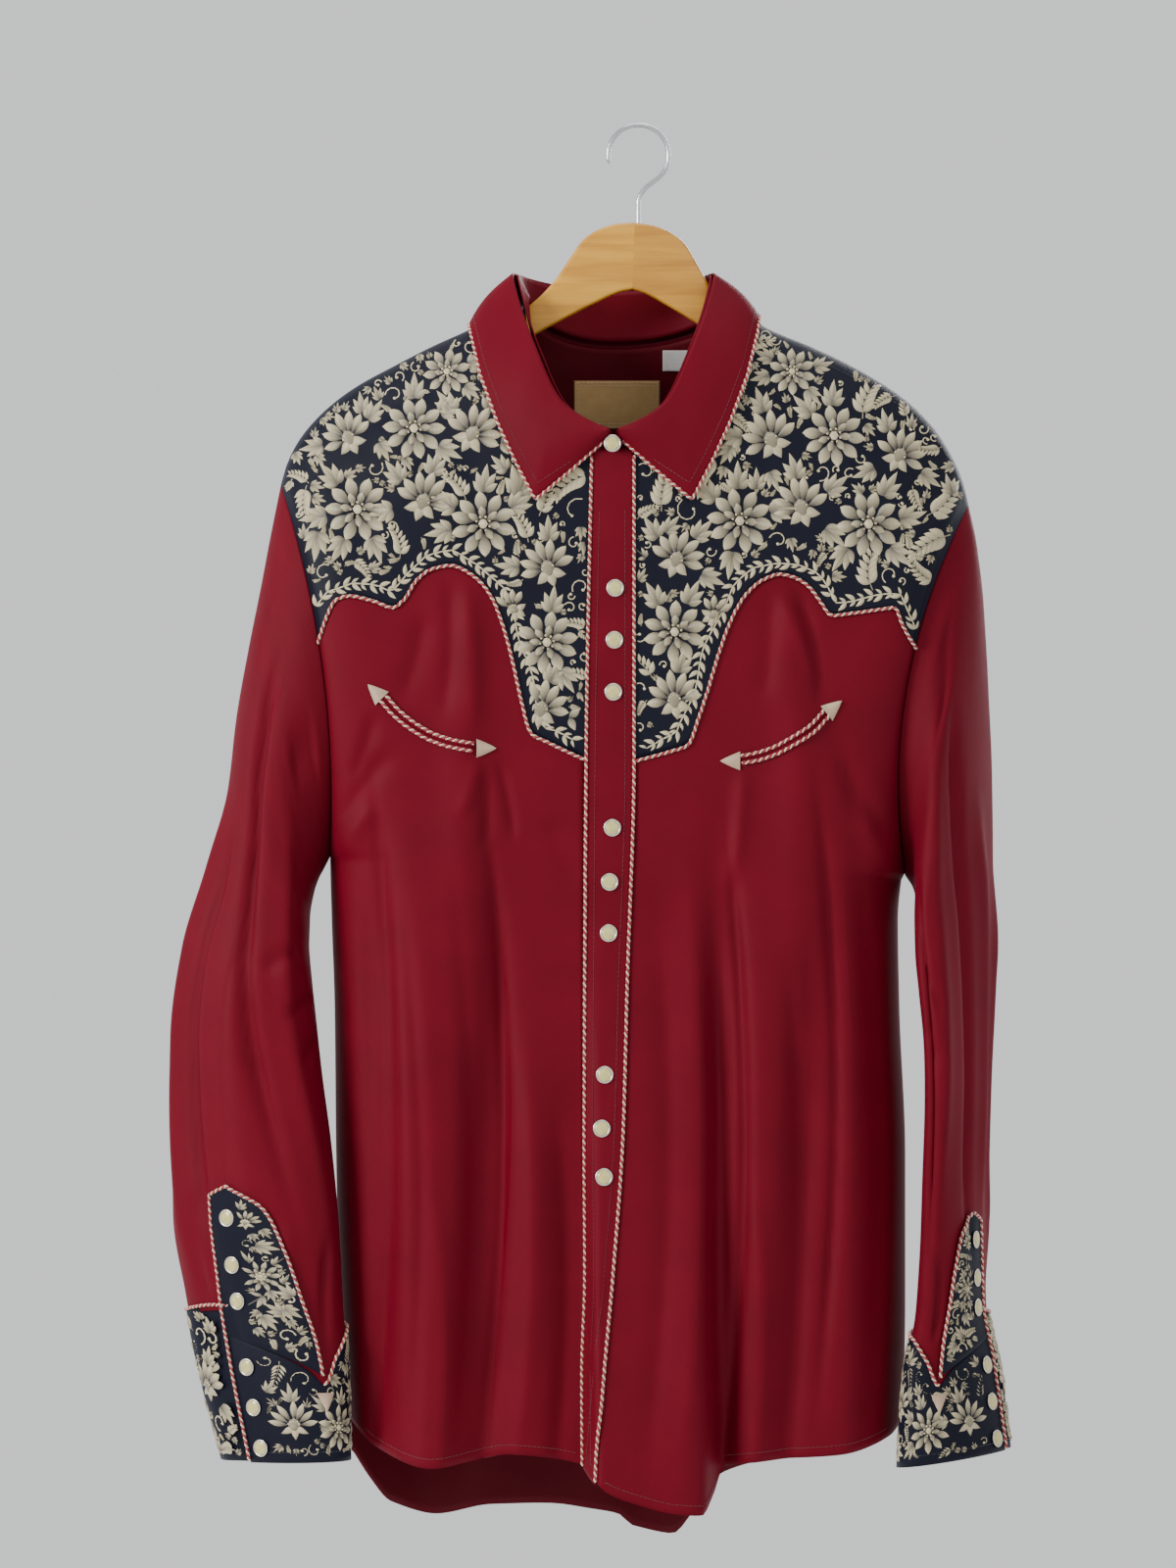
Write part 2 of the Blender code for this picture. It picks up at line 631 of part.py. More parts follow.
def build_back_yoke():
    shares = back_shares(BACK_COLUMNS)
    rows = 9

    def place(u, v):
        column = BACK_COLUMNS - round(u * BACK_COLUMNS)
        share = shares[column]
        low = back_seam(share, SEAM)
        top_x, top_z = back_yoke_top(column)
        z = row_height(low, top_z, round(v * rows), rows)
        t = (z - low) / (top_z - low)
        side, tip = ("left", RIDGE[0]) if share < 0.5 else ("right", RIDGE[-1])
        end = back_seam(0, SEAM)
        bend = armhole_bend(side, (armhole(side, end)[0], end), tip, t)
        x = mix(back_x(share, low), top_x, t) + bend * (1 - min(share, 1 - share) * 2) ** 6
        return body_point(x, z, False)

    return sheet("back_yoke", BACK_COLUMNS, rows, place, "navy_cloth")


def build_yoke_lining():
    """The red inside of the back yoke, which shows through the neck."""

    def place(u, v):
        x = mix(-80, 64, u)
        top = min(back_neck(x), ridge(x) - 20) - 2.0
        return body_point(x, mix(-240, top, v), False, -LINING_IN)

    return sheet("back_yoke_lining", 12, 6, place, "red_cloth", wall=LINING_WALL, inwards=False)


def build_placket():
    rows = 26

    def place(u, v):
        z = mix(along(FRONT_HEM, mix(-37, -28.5, u)) - 1, front_neck(mix(-31, -4, u)) - 1.2, v)
        x = mix(placket_edge(z, "left") + SEAM, placket_edge(z, "right") - SEAM, u)
        return body_point(x, z, True, LIFT)

    return sheet("placket", 3, rows, place, "red_cloth")


def between(rows, parts=4):
    """Plan points along a table of x, z, with parts between each pair."""
    plan = []
    for (x0, z0), (x1, z1) in zip(rows, rows[1:]):
        plan += [(mix(x0, x1, k / parts), mix(z0, z1, k / parts)) for k in range(parts)]
    return plan + [rows[-1]]


def build_body_cords(pieces):
    for side, seam in (("left", YOKE_LEFT), ("right", YOKE_RIGHT)):
        inward = 1 if side == "left" else -1
        inset = [(seam[0][0] + 3 * inward, seam[0][1] + 5)] + list(seam[1:-1])
        inset += [(seam[-1][0] - 3.4 * inward, seam[-1][1] + 1)]
        spots = [front_spot(x, z) for x, z in between(inset)]
        lay_cord(f"yoke_cord_{side}", spots, surfaces_of(pieces, f"front_{side}", f"front_yoke_{side}"), 9.0)
        low = along(FRONT_HEM, placket_edge(-917, side)) + 1
        heights = [mix(low, -232, k / 120) for k in range(121)]
        spots = [front_spot(placket_edge(z, side), z) for z in heights]
        under = surfaces_of(pieces, f"front_{side}", f"front_yoke_{side}", "placket")
        lay_cord(f"placket_cord_{side}", spots, under, 18.0)
    spots = []
    for k in range(2, 119):
        x, z = back_x(k / 120, back_seam(k / 120)), back_seam(k / 120)
        base = body_point(x, z, False)
        spots.append((base, (body_point(x, z, False, 2.0) - base).normalized()))
    lay_cord("back_yoke_cord", spots, surfaces_of(pieces, "back", "back_yoke"), 12.0)


# ---- sleeves and cuffs ----------------------------------------------------------------------


def turned(side, angle):
    return angle + SLEEVE_TURN[side]


def build_sleeve(side):
    around, rows = 20, 14

    def place(u, v):
        angle = 360 * (u if side == "left" else 1 - u)
        feature = (angle - SLEEVE_TURN[side]) % 360
        under = CUFF_OPENING - 1 <= feature < CUFF_OPENING + 14
        end = cuff_top(feature + 360 if under else feature) - 0.02
        return sleeve_point(side, mix(end, 0.05, v), angle)

    return sheet(f"sleeve_{side}", around, rows, place, "red_cloth", closed=True)


def cuff_place(side, start, end, low, high, out):
    """A placing function on the cuff between two angles, facing out on either side."""

    def place(u, v):
        angle = mix(start, end, u) if side == "left" else mix(end, start, u)
        top = high(angle)
        return sleeve_point(side, mix(low, top, v), turned(side, angle), out(angle))

    return place


def build_cuff(side):
    end = CUFF_OPENING + 360 + CUFF_UNDERLAP

    def out(angle):
        return 0.9 - 3.9 * step((angle - 380) / 36)

    place = cuff_place(side, CUFF_OPENING, end, 13.0, lambda angle: cuff_top(angle) + 0.02, out)
    return sheet(f"cuff_{side}", 26, 3, place, "navy_cloth")


def gauntlet_plan(u, v):
    """Degrees and ring number on the gauntlet, the tall pointed panel above the cuff."""
    angle_right = mix(133, GAUNTLET_TOP, v ** 1.0)
    ring_right = along(GAUNTLET_EDGE, angle_right)
    right = (angle_right, ring_right)
    left = (CUFF_OPENING, mix(cuff_top(CUFF_OPENING) - 0.03, GAUNTLET_RING + 0.12, v))
    return mix(left[0], right[0], u), mix(left[1], min(right[1], cuff_top(right[0]) - 0.03), u)


def build_gauntlet(side):
    def place(u, v):
        angle, ring = gauntlet_plan(u if side == "left" else 1 - u, v)
        return sleeve_point(side, ring, turned(side, angle), WALL + LIFT + 0.7)

    return sheet(f"gauntlet_{side}", 5, 8, place, "navy_cloth")


def build_cuff_cords(side, pieces):
    """One cord round the gauntlet and down the opening, and one along the rest of the cuff's top."""
    under = surfaces_of(pieces, *(f"{what}_{side}" for what in ("sleeve", "cuff", "gauntlet")))
    edge = [gauntlet_plan(1.0, k / 16) for k in range(17)]
    edge += [gauntlet_plan(1 - k / 6, 1.0) for k in range(1, 7)]
    edge += [gauntlet_plan(0.0, 1 - k / 10) for k in range(1, 11)]
    edge += [(CUFF_OPENING, mix(cuff_top(CUFF_OPENING), 12.97, k / 8)) for k in range(1, 9)]
    spots = [sleeve_spot(side, ring, angle) for angle, ring in edge]
    lay_cord(f"gauntlet_cord_{side}", spots, under, 6.0)
    rest_of_it = [CUFF_POINT + 7 + k * 4 for k in range(68)]
    spots = [sleeve_spot(side, cuff_top(angle), angle) for angle in rest_of_it]
    lay_cord(f"cuff_cord_{side}", spots, under, 8.0, 0.8)


# ---- collar ---------------------------------------------------------------------------------


def neck_seam(angle, way):
    """A point of the neck seam at an angle from the back, on the left (-1) or right (1)."""
    turn = math.radians(angle)
    half = NECK_HALF["left" if way < 0 else "right"] - 2.5
    x = NECK_X + way * half * math.sin(turn)
    z = NECK_Z - NECK_BACK * math.cos(turn) if angle <= 90 else NECK_Z + NECK_FRONT * math.cos(turn)
    depth = half_depth(x, min(z, ridge(x) - 1.5), angle > 90) - 1.0
    return Vector((x, -depth if angle > 90 else depth, z + STAND_LIFT))


def fold_point(angle, way):
    half, y, z = (along(COLLAR_FOLD, angle, c) for c in (1, 2, 3))
    return Vector((NECK_X + way * half, y, z))


def edge_point(angle, way):
    half, z = along(COLLAR_EDGE, angle, 1), along(COLLAR_EDGE, angle, 2)
    x = NECK_X + way * half
    on_top = 1 - min(abs(angle - 85) / 12, 1.0)
    z = max(z, mix(z, ridge(x) + COLLAR_LIFT, on_top))
    if on_top > 0.99:
        return Vector((x, 0, z))
    point = body_point(x, min(z, ridge(x) - 1), angle > 85, COLLAR_LIFT)
    return mix(point, Vector((x, 0, ridge(x) + COLLAR_LIFT)), on_top ** 2)


COLLAR_ANGLES = (0, 15, 30, 45, 60, 72, 82, 89, 91, 97, 110, 125, 140, 153, 166, 180)


def collar_column(u):
    """Angle from the back and the side, for a share of the way from the right front to the left one."""
    last = len(COLLAR_ANGLES) - 1
    return COLLAR_ANGLES[round(abs(2 * u - 1) * last)], -1 if u > 0.5 else 1


def build_collar_stand():
    def place(u, v):
        angle, way = collar_column(u)
        return mix(neck_seam(angle, way), fold_point(angle, way), 0.04 + 0.9 * v)

    return sheet("collar_stand", 2 * len(COLLAR_ANGLES) - 2, 3, place, "red_cloth")


def collar_point(angle, way, v):
    """A point of the collar's leaf, from its fold (1) down to its edge (0)."""
    fold, edge = fold_point(angle, way), edge_point(angle, way)
    away = Vector((fold.x - NECK_X, fold.y + 5, 20)).normalized()
    point = mix(edge, fold, v) + away * (COLLAR_BULGE * math.sin(math.pi * min(v * 0.9 + 0.05, 1)) + 2.4 * v)
    if point.z < ridge(point.x) - 12:
        front = angle > 85
        clear = half_depth(point.x, point.z, front) + COLLAR_LIFT
        point.y = min(point.y, -clear) if front else max(point.y, clear)
    return point


def build_collar_leaf():
    def place(u, v):
        return collar_point(*collar_column(u), v)

    return sheet("collar_leaf", 2 * len(COLLAR_ANGLES) - 2, 5, place, "red_cloth")


def build_collar_cord():
    """The cord round the leaf's edge, held off it in its own plane and mitred at the points."""
    route = [(angle, -1) for angle in COLLAR_ANGLES[::-1]] + [(angle, 1) for angle in COLLAR_ANGLES[1:]]
    edges = [collar_point(angle, way, 0.0) for angle, way in route]
    points = []
    for k, (angle, way) in enumerate(route):
        before = (edges[k] - edges[max(k - 1, 0)]).normalized()
        after = (edges[min(k + 1, len(edges) - 1)] - edges[k]).normalized()
        run = (before + after).normalized()
        away = edges[k] - collar_point(angle, way, 0.2)
        away = (away - run * away.dot(run)).normalized()
        points.append(edges[k] + away * (CORD_RADIUS + 0.5) / max(run.dot(after if k else run), 0.5))
    return cord("collar_cord", points[1:-1])


# ---- pockets, arrows, snaps, labels ---------------------------------------------------------


def build_pocket(side):
    line = POCKETS[side]
    count = len(line) - 1

    def place(u, v):
        k = round(u * 2 * count) / 2
        k = k if side == "left" else count - k
        a, b = line[int(k)], line[min(int(k) + 1, count)]
        share = k - int(k)
        x, z = mix(a[0], b[0], share), mix(a[1], b[1], share)
        before, after = line[max(int(k) - 1, 0)], line[min(int(k) + 1, count)]
        run = Vector((after[0] - before[0], after[1] - before[1])).normalized()
        normal = Vector((-run.y, run.x)) if side == "left" else Vector((run.y, -run.x))
        off = mix(-POCKET_HALF, POCKET_HALF, v)
        return body_point(x + normal.x * off, z + normal.y * off, True, TRIM_WALL + 1.0)

    return sheet(f"pocket_{side}", 2 * count, 2, place, "red_cloth", wall=TRIM_WALL)


def arrow_mesh():
    mesh = bmesh.new()
    bmesh.ops.create_cone(
        mesh, cap_ends=True, segments=3, radius1=ARROW_RADIUS * MM, radius2=ARROW_RADIUS * 0.72 * MM,
        depth=TRIM_WALL * MM, matrix=Matrix.Rotation(-math.pi / 2, 4, "Z"),
    )
    data = bpy.data.meshes.new("arrowhead")
    mesh.to_mesh(data)
    mesh.free()
    data.materials.append(material("thread"))
    return data


def snap_mesh():
    """A snap's cap, a low cylinder with an eased rim."""
    mesh = bmesh.new()
    bmesh.ops.create_cone(
        mesh, cap_ends=True, segments=12, radius1=SNAP_RADIUS * MM, radius2=SNAP_RADIUS * MM,
        depth=SNAP_HEIGHT * MM,
    )
    top = [e for e in mesh.edges if all(v.co.z > 0 for v in e.verts)]
    bmesh.ops.bevel(mesh, geom=top, offset=0.9 * MM, segments=1, profile=0.6, affect="EDGES")
    data = bpy.data.meshes.new("snap")
    mesh.to_mesh(data)
    mesh.free()
    data.materials.append(material("pearl"))
    return data


def build_arrows(pieces):
    data = arrow_mesh()
    for name, (x, z, degrees) in ARROWS.items():
        side = name.split("_")[0]
        surfaces = surfaces_of(pieces, f"front_{side}", f"pocket_{side}")
        turn = math.radians(degrees)
        heading = Vector((math.cos(turn), 0, math.sin(turn)))
        rest(f"arrow_{name}", data, front_spot(x, z), heading, surfaces, ARROW_RADIUS * 0.62, TRIM_WALL / 2)
    for side in ("left", "right"):
        surfaces = surfaces_of(pieces, f"cuff_{side}", f"sleeve_{side}")
        spot = sleeve_spot(side, 12.42, CUFF_POINT)
        rest(f"arrow_cuff_{side}", data, spot, Vector((0, 0, -1)), surfaces, ARROW_RADIUS * 0.8, TRIM_WALL / 2)


def build_snaps(pieces):
    data = snap_mesh()
    front = surfaces_of(pieces, "placket", "collar_stand", "collar_leaf")

    def place_snap(name, point, normal, surfaces):
        rest(name, data, (point, normal), Vector((0, 0, 1)), surfaces, SNAP_RADIUS, SNAP_HEIGHT / 2)

    for k, (x, z) in enumerate(FRONT_SNAPS):
        base = body_point(x, z, True)
        normal = (body_point(x, z, True, 2.0) - base).normalized()
        if k == 0:
            normal = Vector((0, -1, 0.12)).normalized()
        place_snap(f"snap_front_{k + 1:02d}", base, normal, front)
    for side in ("left", "right"):
        surfaces = surfaces_of(pieces, f"gauntlet_{side}", f"cuff_{side}")
        for k, (after, ring) in enumerate(CUFF_SNAPS):
            place_snap(f"snap_{side}_{k + 1}", *sleeve_spot(side, ring, CUFF_OPENING + after), surfaces)


def build_labels():
    def label(u, v):
        x = LABEL_X + mix(-LABEL_HALF_W, LABEL_HALF_W, u)
        z = LABEL_Z + mix(-LABEL_HALF_H, LABEL_HALF_H, v)
        return body_point(x, z, False, -(LINING_IN + LINING_WALL + 0.6))

    sheet("neck_label", 6, 3, label, "label_tan", wall=0.8, inwards=False)

    def tag(u, v):
        x = TAG_X + mix(-TAG_HALF_W, TAG_HALF_W, u)
        z = TAG_Z + mix(-TAG_HALF_H, TAG_HALF_H, v)
        return body_point(x, z, False, -(LINING_IN + LINING_WALL + 0.7 + 1.6 * (1 - v)))

    sheet("size_tag", 4, 2, tag, "tag_white", wall=0.5, inwards=False)


# ---- hanger ---------------------------------------------------------------------------------


def build_hanger():
    half = list(HANGER_TOP) + list(HANGER_END) + list(HANGER_UNDER)
    right = [Vector((x, 0, z)) for x, z in half]
    left = [Vector((-x, 0, z)) for x, z in half[1:-1]]
    curve = bpy.data.curves.new("hanger_outline", "CURVE")
    curve.dimensions = "2D"
    curve.fill_mode = "BOTH"
    curve.extrude = HANGER_HALF * MM
    line = curve.splines.new("POLY")
    outline = right + left[::-1]
    line.points.add(len(outline) - 1)
    for spot, point in zip(line.points, outline):
        spot.co = (point.x * MM, point.z * MM, 0, 1)
    line.use_cyclic_u = True
    flat = bpy.data.objects.new("hanger_outline", curve)
    SHIRT.objects.link(flat)
    bpy.context.view_layer.update()
    data = bpy.data.meshes.new_from_object(flat.evaluated_get(bpy.context.evaluated_depsgraph_get()))
    bpy.data.objects.remove(flat)
    mesh = bmesh.new()
    mesh.from_mesh(data)
    bmesh.ops.remove_doubles(mesh, verts=mesh.verts, dist=0.00001)
    bmesh.ops.dissolve_limit(mesh, angle_limit=0.01, verts=mesh.verts, edges=mesh.edges)
    rims = [e for e in mesh.edges if abs(e.calc_face_angle(0)) > 1.2]
    rims = [e for e in rims if abs(e.verts[0].co.z - e.verts[1].co.z) < 0.0001]
    bmesh.ops.bevel(mesh, geom=rims, offset=HANGER_EDGE * MM, segments=2, profile=0.5, affect="EDGES")
    mesh.to_mesh(data)
    mesh.free()
    data.name = "hanger"
    wood = add_object("hanger", data, "wood")
    wood.rotation_euler = (math.pi / 2, HANGER_TILT, 0)

    hole = bpy.data.meshes.new("hook_hole")
    mesh = bmesh.new()
    bmesh.ops.create_cone(
        mesh, cap_ends=True, segments=12, radius1=(WIRE_RADIUS + 0.4) * MM,
        radius2=(WIRE_RADIUS + 0.4) * MM, depth=2 * HOOK_SEAT * MM,
    )
    mesh.to_mesh(hole)
    mesh.free()
    cutter = bpy.data.objects.new("hook_hole", hole)
    CUTTERS.objects.link(cutter)
    cutter.location = Vector((0, 0, HANGER_TOP[0][1])) * MM
    cutter.hide_render = True
    cutter.display_type = "WIRE"
    cut = wood.modifiers.new("hook hole", "BOOLEAN")
    cut.object = cutter
    cut.operation = "DIFFERENCE"


def build_hook():
    """The wire hook: a stem in the wood, and a round bow whose inside top is the origin."""
    centre = -HOOK_RADIUS + WIRE_RADIUS
    stem_low = HANGER_TOP[0][1] - HOOK_SEAT + 1.0
    start = math.radians(-58)
    points = [Vector((0, 0, mix(stem_low, -50, k / 3))) for k in range(4)]
    points += [Vector((1.2, 0, -46)), Vector((4.6, 0, -41.5))]
    turns = 17
    for k in range(turns + 1):
        turn = mix(start, math.radians(196), k / turns)
        points.append(Vector((math.cos(turn) * HOOK_RADIUS, 0, centre + math.sin(turn) * HOOK_RADIUS)))
    hook = cord("hook", points, WIRE_RADIUS)
    hook.data.bevel_resolution = 2
    hook.data.materials.clear()
    hook.data.materials.append(material("metal"))


def build_shirt():
    pieces = {}
    for side in ("left", "right"):
        for build in (build_front, build_front_yoke, build_sleeve, build_cuff, build_gauntlet, build_pocket):
            piece = build(side)
            pieces[piece.name] = piece
    for build in (build_back, build_back_yoke, build_placket, build_collar_stand, build_collar_leaf):
        piece = build()
        pieces[piece.name] = piece
    bpy.context.view_layer.update()
    build_yoke_lining()
    build_body_cords(pieces)
    for side in ("left", "right"):
        build_cuff_cords(side, pieces)
    build_collar_cord()
    build_labels()
    build_arrows(pieces)
    build_snaps(pieces)
    build_hanger()
    build_hook()


for old in list(bpy.data.objects):
    bpy.data.objects.remove(old)
SHIRT = bpy.data.collections.new("western_snap_shirt")
CUTTERS = bpy.data.collections.new("cutters")
bpy.context.scene.collection.children.link(SHIRT)
bpy.context.scene.collection.children.link(CUTTERS)
build_shirt()
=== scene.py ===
import math
import random

import bpy
import numpy as np
from mathutils import Matrix, Vector


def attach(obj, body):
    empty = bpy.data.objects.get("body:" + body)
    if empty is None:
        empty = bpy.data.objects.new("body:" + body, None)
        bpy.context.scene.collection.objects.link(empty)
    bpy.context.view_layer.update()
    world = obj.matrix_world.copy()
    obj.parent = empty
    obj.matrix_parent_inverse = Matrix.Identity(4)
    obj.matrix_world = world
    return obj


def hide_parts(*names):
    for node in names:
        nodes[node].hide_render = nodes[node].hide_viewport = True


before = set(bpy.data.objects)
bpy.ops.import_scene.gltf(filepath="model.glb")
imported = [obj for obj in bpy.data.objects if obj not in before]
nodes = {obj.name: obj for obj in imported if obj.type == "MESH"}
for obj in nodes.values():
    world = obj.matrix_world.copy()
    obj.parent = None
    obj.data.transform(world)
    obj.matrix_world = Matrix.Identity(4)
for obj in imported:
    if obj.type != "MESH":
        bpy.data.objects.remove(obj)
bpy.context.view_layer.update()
print("frame loaded:", len(nodes), "pieces")

# All tables are in millimetres from the inside top of the hook: x right, y away, z up.
toMetres = 0.001

form = {
    "ridge": (
        (-243.5, -243), (-239, -228), (-229, -210), (-212.5, -192), (-192.7, -177), (-166.3, -162.5),
        (-139.9, -149), (-113.5, -137), (-96, -127.5), (-77, -116.5), (-45, -103), (-17, -98),
        (20, -100), (45, -107.5), (61, -116), (75, -127), (87.8, -136.5), (117.5, -149), (150.5, -165),
        (180.2, -184), (200, -203), (213.2, -223), (221.8, -243), (225, -257),
    ),
    # z, left side seam x, right side seam x
    "sides": (
        (-940, -192, 176), (-880, -198, 180), (-800, -203, 182), (-700, -206, 182), (-600, -207, 178),
        (-540, -209, 177), (-497, -210, 181), (-480, -210, 182),
    ),
    "sideRound": ((-940, 56), (-600, 62), (-500, 56), (-400, 42), (-300, 26), (-240, 14)),
    "frontHem": (
        (-206, -868), (-194, -880), (-176, -896), (-140, -907), (-113, -903), (-87, -898), (-41, -904),
        (-29, -915), (-21, -922), (0, -930), (25, -936), (42, -937), (50, -925), (58, -906), (98, -901),
        (137, -898), (170, -888), (183, -874),
    ),
    "backHem": (
        (-206, -880), (-184, -924), (-170, -942), (-140, -952), (-100, -944), (-60, -945), (-34, -948),
        (-14, -952), (-3, -961), (24, -966), (38, -950), (58, -922), (100, -912), (140, -904), (183, -880),
    ),
    # z, left edge x, right edge x
    "placket": (
        (-940, -36, -27), (-917, -37, -28.5), (-845, -37.6, -23.8), (-780, -35.5, -17.8),
        (-680, -36.3, -10.6), (-580, -36.3, -7.9), (-431, -35.6, -3.3), (-216, -31.7, -3.3),
    ),
    "neckX": -17.0, "neckZ": -117.0, "neckFront": 104.0, "neckBack": 30.0,
    "neckLeft": 60.0, "neckRight": 78.0, "ridgeRound": 9.0,
    "yokeLeft": (
        (-215.8, -351.8), (-210.5, -335.3), (-203.9, -323.4), (-194.7, -320.8), (-179.5, -324.1),
        (-166.3, -328.7), (-158.4, -323.4), (-149.8, -310.2), (-139.9, -302.9), (-126.7, -300.3),
        (-112.2, -306.9), (-100.3, -320.1), (-92.4, -338.6), (-85.1, -365.0), (-79.2, -391.4),
        (-72.6, -413.2), (-60.7, -419.8), (-35.6, -431.6),
    ),
    "yokeRight": (
        (186.8, -356.4), (178.2, -341.9), (171.6, -328.7), (157.1, -330.7), (130.7, -334.0),
        (122.8, -325.4), (114.2, -314.2), (103.0, -307.6), (94.4, -306.2), (83.2, -310.2),
        (71.3, -320.8), (61.4, -338.6), (53.5, -360.4), (46.2, -384.8), (39.6, -404.6),
        (33.0, -421.1), (18.5, -426.4), (-3.3, -432.3),
    ),
    # share of the half width, z
    "backYoke": (
        (0.0, -352), (0.06, -326), (0.16, -322), (0.30, -330), (0.40, -312), (0.52, -302),
        (0.64, -310), (0.74, -336), (0.84, -372), (1.0, -392),
    ),
}

# Folds that hang down the cloth: top x, top z, bottom x, bottom z, out or in, half width.
frontFolds = (
    (-181, -400, -176, -930, -9, 13), (-148, -430, -143, -930, 10, 24), (-93, -470, -112, -930, -9, 13),
    (-66, -560, -70, -930, 6, 18), (54, -430, 53, -930, -11, 11), (84, -420, 82, -930, 9, 22),
    (121, -500, 98, -930, -7, 13), (146, -470, 146, -930, 7, 22), (-124, -300, -118, -420, 4, 15),
    (96, -306, 108, -420, 4, 15),
)
backFolds = (
    (-160, -360, -150, -960, 9, 22), (-112, -330, -104, -960, -9, 20), (-60, -330, -58, -960, 9, 24),
    (-14, -420, 8, -960, 16, 24), (52, -380, 48, -960, -12, 20), (96, -330, 96, -960, 9, 22),
    (140, -380, 138, -960, -7, 18),
)
# Smaller creases: start x and z, end x and z, out or in, half width. They fade at both ends.
frontCreases = (
    (-128, -470, -126, -940, -2.6, 7), (-162, -500, -158, -940, -3.0, 6), (-197, -520, -192, -900, 2.6, 8),
    (-78, -600, -86, -940, 3.0, 8), (-57, -640, -58, -940, -3.2, 8), (-104, -440, -108, -935, -5.5, 4.8),
    (-96, -428, -84, -486, -2.4, 4), (-104, -432, -104, -492, -2.2, 4), (-108, -428, -120, -470, 1.8, 5),
    (-177, -396, -194, -446, -2.4, 5), (-118, -306, -112, -414, 3.0, 7), (-128, -306, -131, -402, -2.8, 6),
    (-144, -330, -160, -392, -2.0, 7), (-206, -480, -166, -424, -3.0, 7), (-206, -500, -178, -462, 2.4, 6),
    (30, -470, 27, -940, 2.8, 9), (10, -500, 4, -920, -2.8, 8), (98, -540, 95, -940, -3.0, 6),
    (140, -430, 152, -940, -4.0, 9), (163, -520, 160, -900, 3.0, 8), (104, -308, 124, -396, -3.6, 5),
    (92, -316, 122, -386, 2.6, 6), (88, -312, 84, -392, -2.2, 7), (70, -430, 60, -520, 3.0, 6),
    (178, -490, 136, -432, -3.2, 7), (180, -512, 150, -470, 2.6, 6), (130, -404, 146, -470, -2.4, 5),
    (57, -445, 55, -940, -6.0, 3.8), (118, -420, 120, -880, -5.0, 4.5), (-183, -405, -181, -940, -5.0, 3.8),
    (44, -600, 45, -935, 3.0, 7),
    (-140, -700, -136, -940, 2.0, 7), (76, -700, 74, -940, 2.6, 6), (-40, -520, -60, -470, -1.6, 7),
)
yokeCreases = (
    (-206, -226, -180, -300, -1.6, 9), (-176, -196, -150, -262, 1.6, 12), (-120, -220, -104, -300, -1.5, 10),
    (196, -236, 166, -300, -1.6, 9), (150, -196, 128, -268, 1.6, 12), (84, -210, 70, -300, -1.5, 10),
)
backCreases = (
    (-190, -380, -184, -900, -3.4, 9), (-134, -350, -130, -940, 3.0, 8), (-84, -360, -82, -940, -4.0, 8),
    (-36, -420, -30, -940, -4.0, 8), (22, -440, 30, -950, 4.2, 8), (74, -360, 72, -940, -3.6, 8),
    (118, -360, 116, -930, 3.0, 8), (162, -400, 160, -900, -3.4, 9), (-12, -396, -60, -470, -2.6, 9),
    (-6, -396, 50, -480, -2.6, 9), (-200, -470, -150, -410, -3.0, 8), (178, -480, 130, -410, -3.0, 8),
)
lapFold = {
    "out": ((-940, 27), (-880, 24), (-800, 17), (-700, 9), (-600, 3), (-540, 0)),
    "left": -39.0, "leftWidth": 13.0, "right": 42.0, "rightWidth": 14.0,
}

# Rings from the armhole to the cuff's end: outer x, y, z, inner x, y, z, half depth, lean, bow.
sleeveRings = {
    "left": (
        (-243.5, 0, -243, -210, 0, -497, 43, 0, 13.5), (-250, 0, -275, -214, -2, -505, 45, 0, 8),
        (-257, 0, -312, -218, -4, -513, 46, 0, 3), (-265, 0, -352, -221, -6, -523, 47, 0, 0),
        (-274, 2, -402, -223, -8, -537, 46, 0, 0), (-280, 3, -452, -223, -12, -556, 47, 0, 0),
        (-292, 4, -504, -221, -18, -580, 47, 0, 0), (-308, 6, -558, -218, -24, -608, 47, 0, 0),
        (-316.5, 8, -618, -214, -30, -645, 46, 0, 0), (-318, 8, -680, -208, -36, -690, 45, 0, 0),
        (-317.5, 6, -740, -203, -42, -740, 43, 0, 0), (-309, 2, -795, -199.5, -48, -795, 38, 0, 0),
        (-301, -4, -835, -197, -50, -835, 34, 0, 0), (-283, -10, -906, -195, -52, -903, 32, 0, 0),
    ),
    "right": (
        (225, 0, -257, 182, 0, -510, 43, 0, -23), (231, 0, -286, 187, -2, -518, 46, -4, -13),
        (235, 2, -326, 190, -6, -527, 49, -10, -6), (236, 4, -372, 192, -12, -538, 52, -15, -2),
        (236, 6, -424, 193, -18, -552, 56, -19, 0), (236, 6, -478, 194, -24, -572, 58, -20, 0),
        (237, 4, -532, 195, -30, -594, 58, -18, 0), (236, 0, -592, 196, -36, -626, 56, -14, 0),
        (235, -4, -650, 195, -40, -668, 54, -11, 0), (234, -8, -705, 193, -42, -714, 51, -10, 0),
        (235, -10, -755, 191, -44, -760, 47, -9, 0), (236, -14, -800, 187, -46, -806, 43, -8, 0),
        (243, -18, -835, 181, -48, -838, 39, -8, 0), (252, -22, -898, 175, -50, -908, 36, -6, 0),
    ),
}
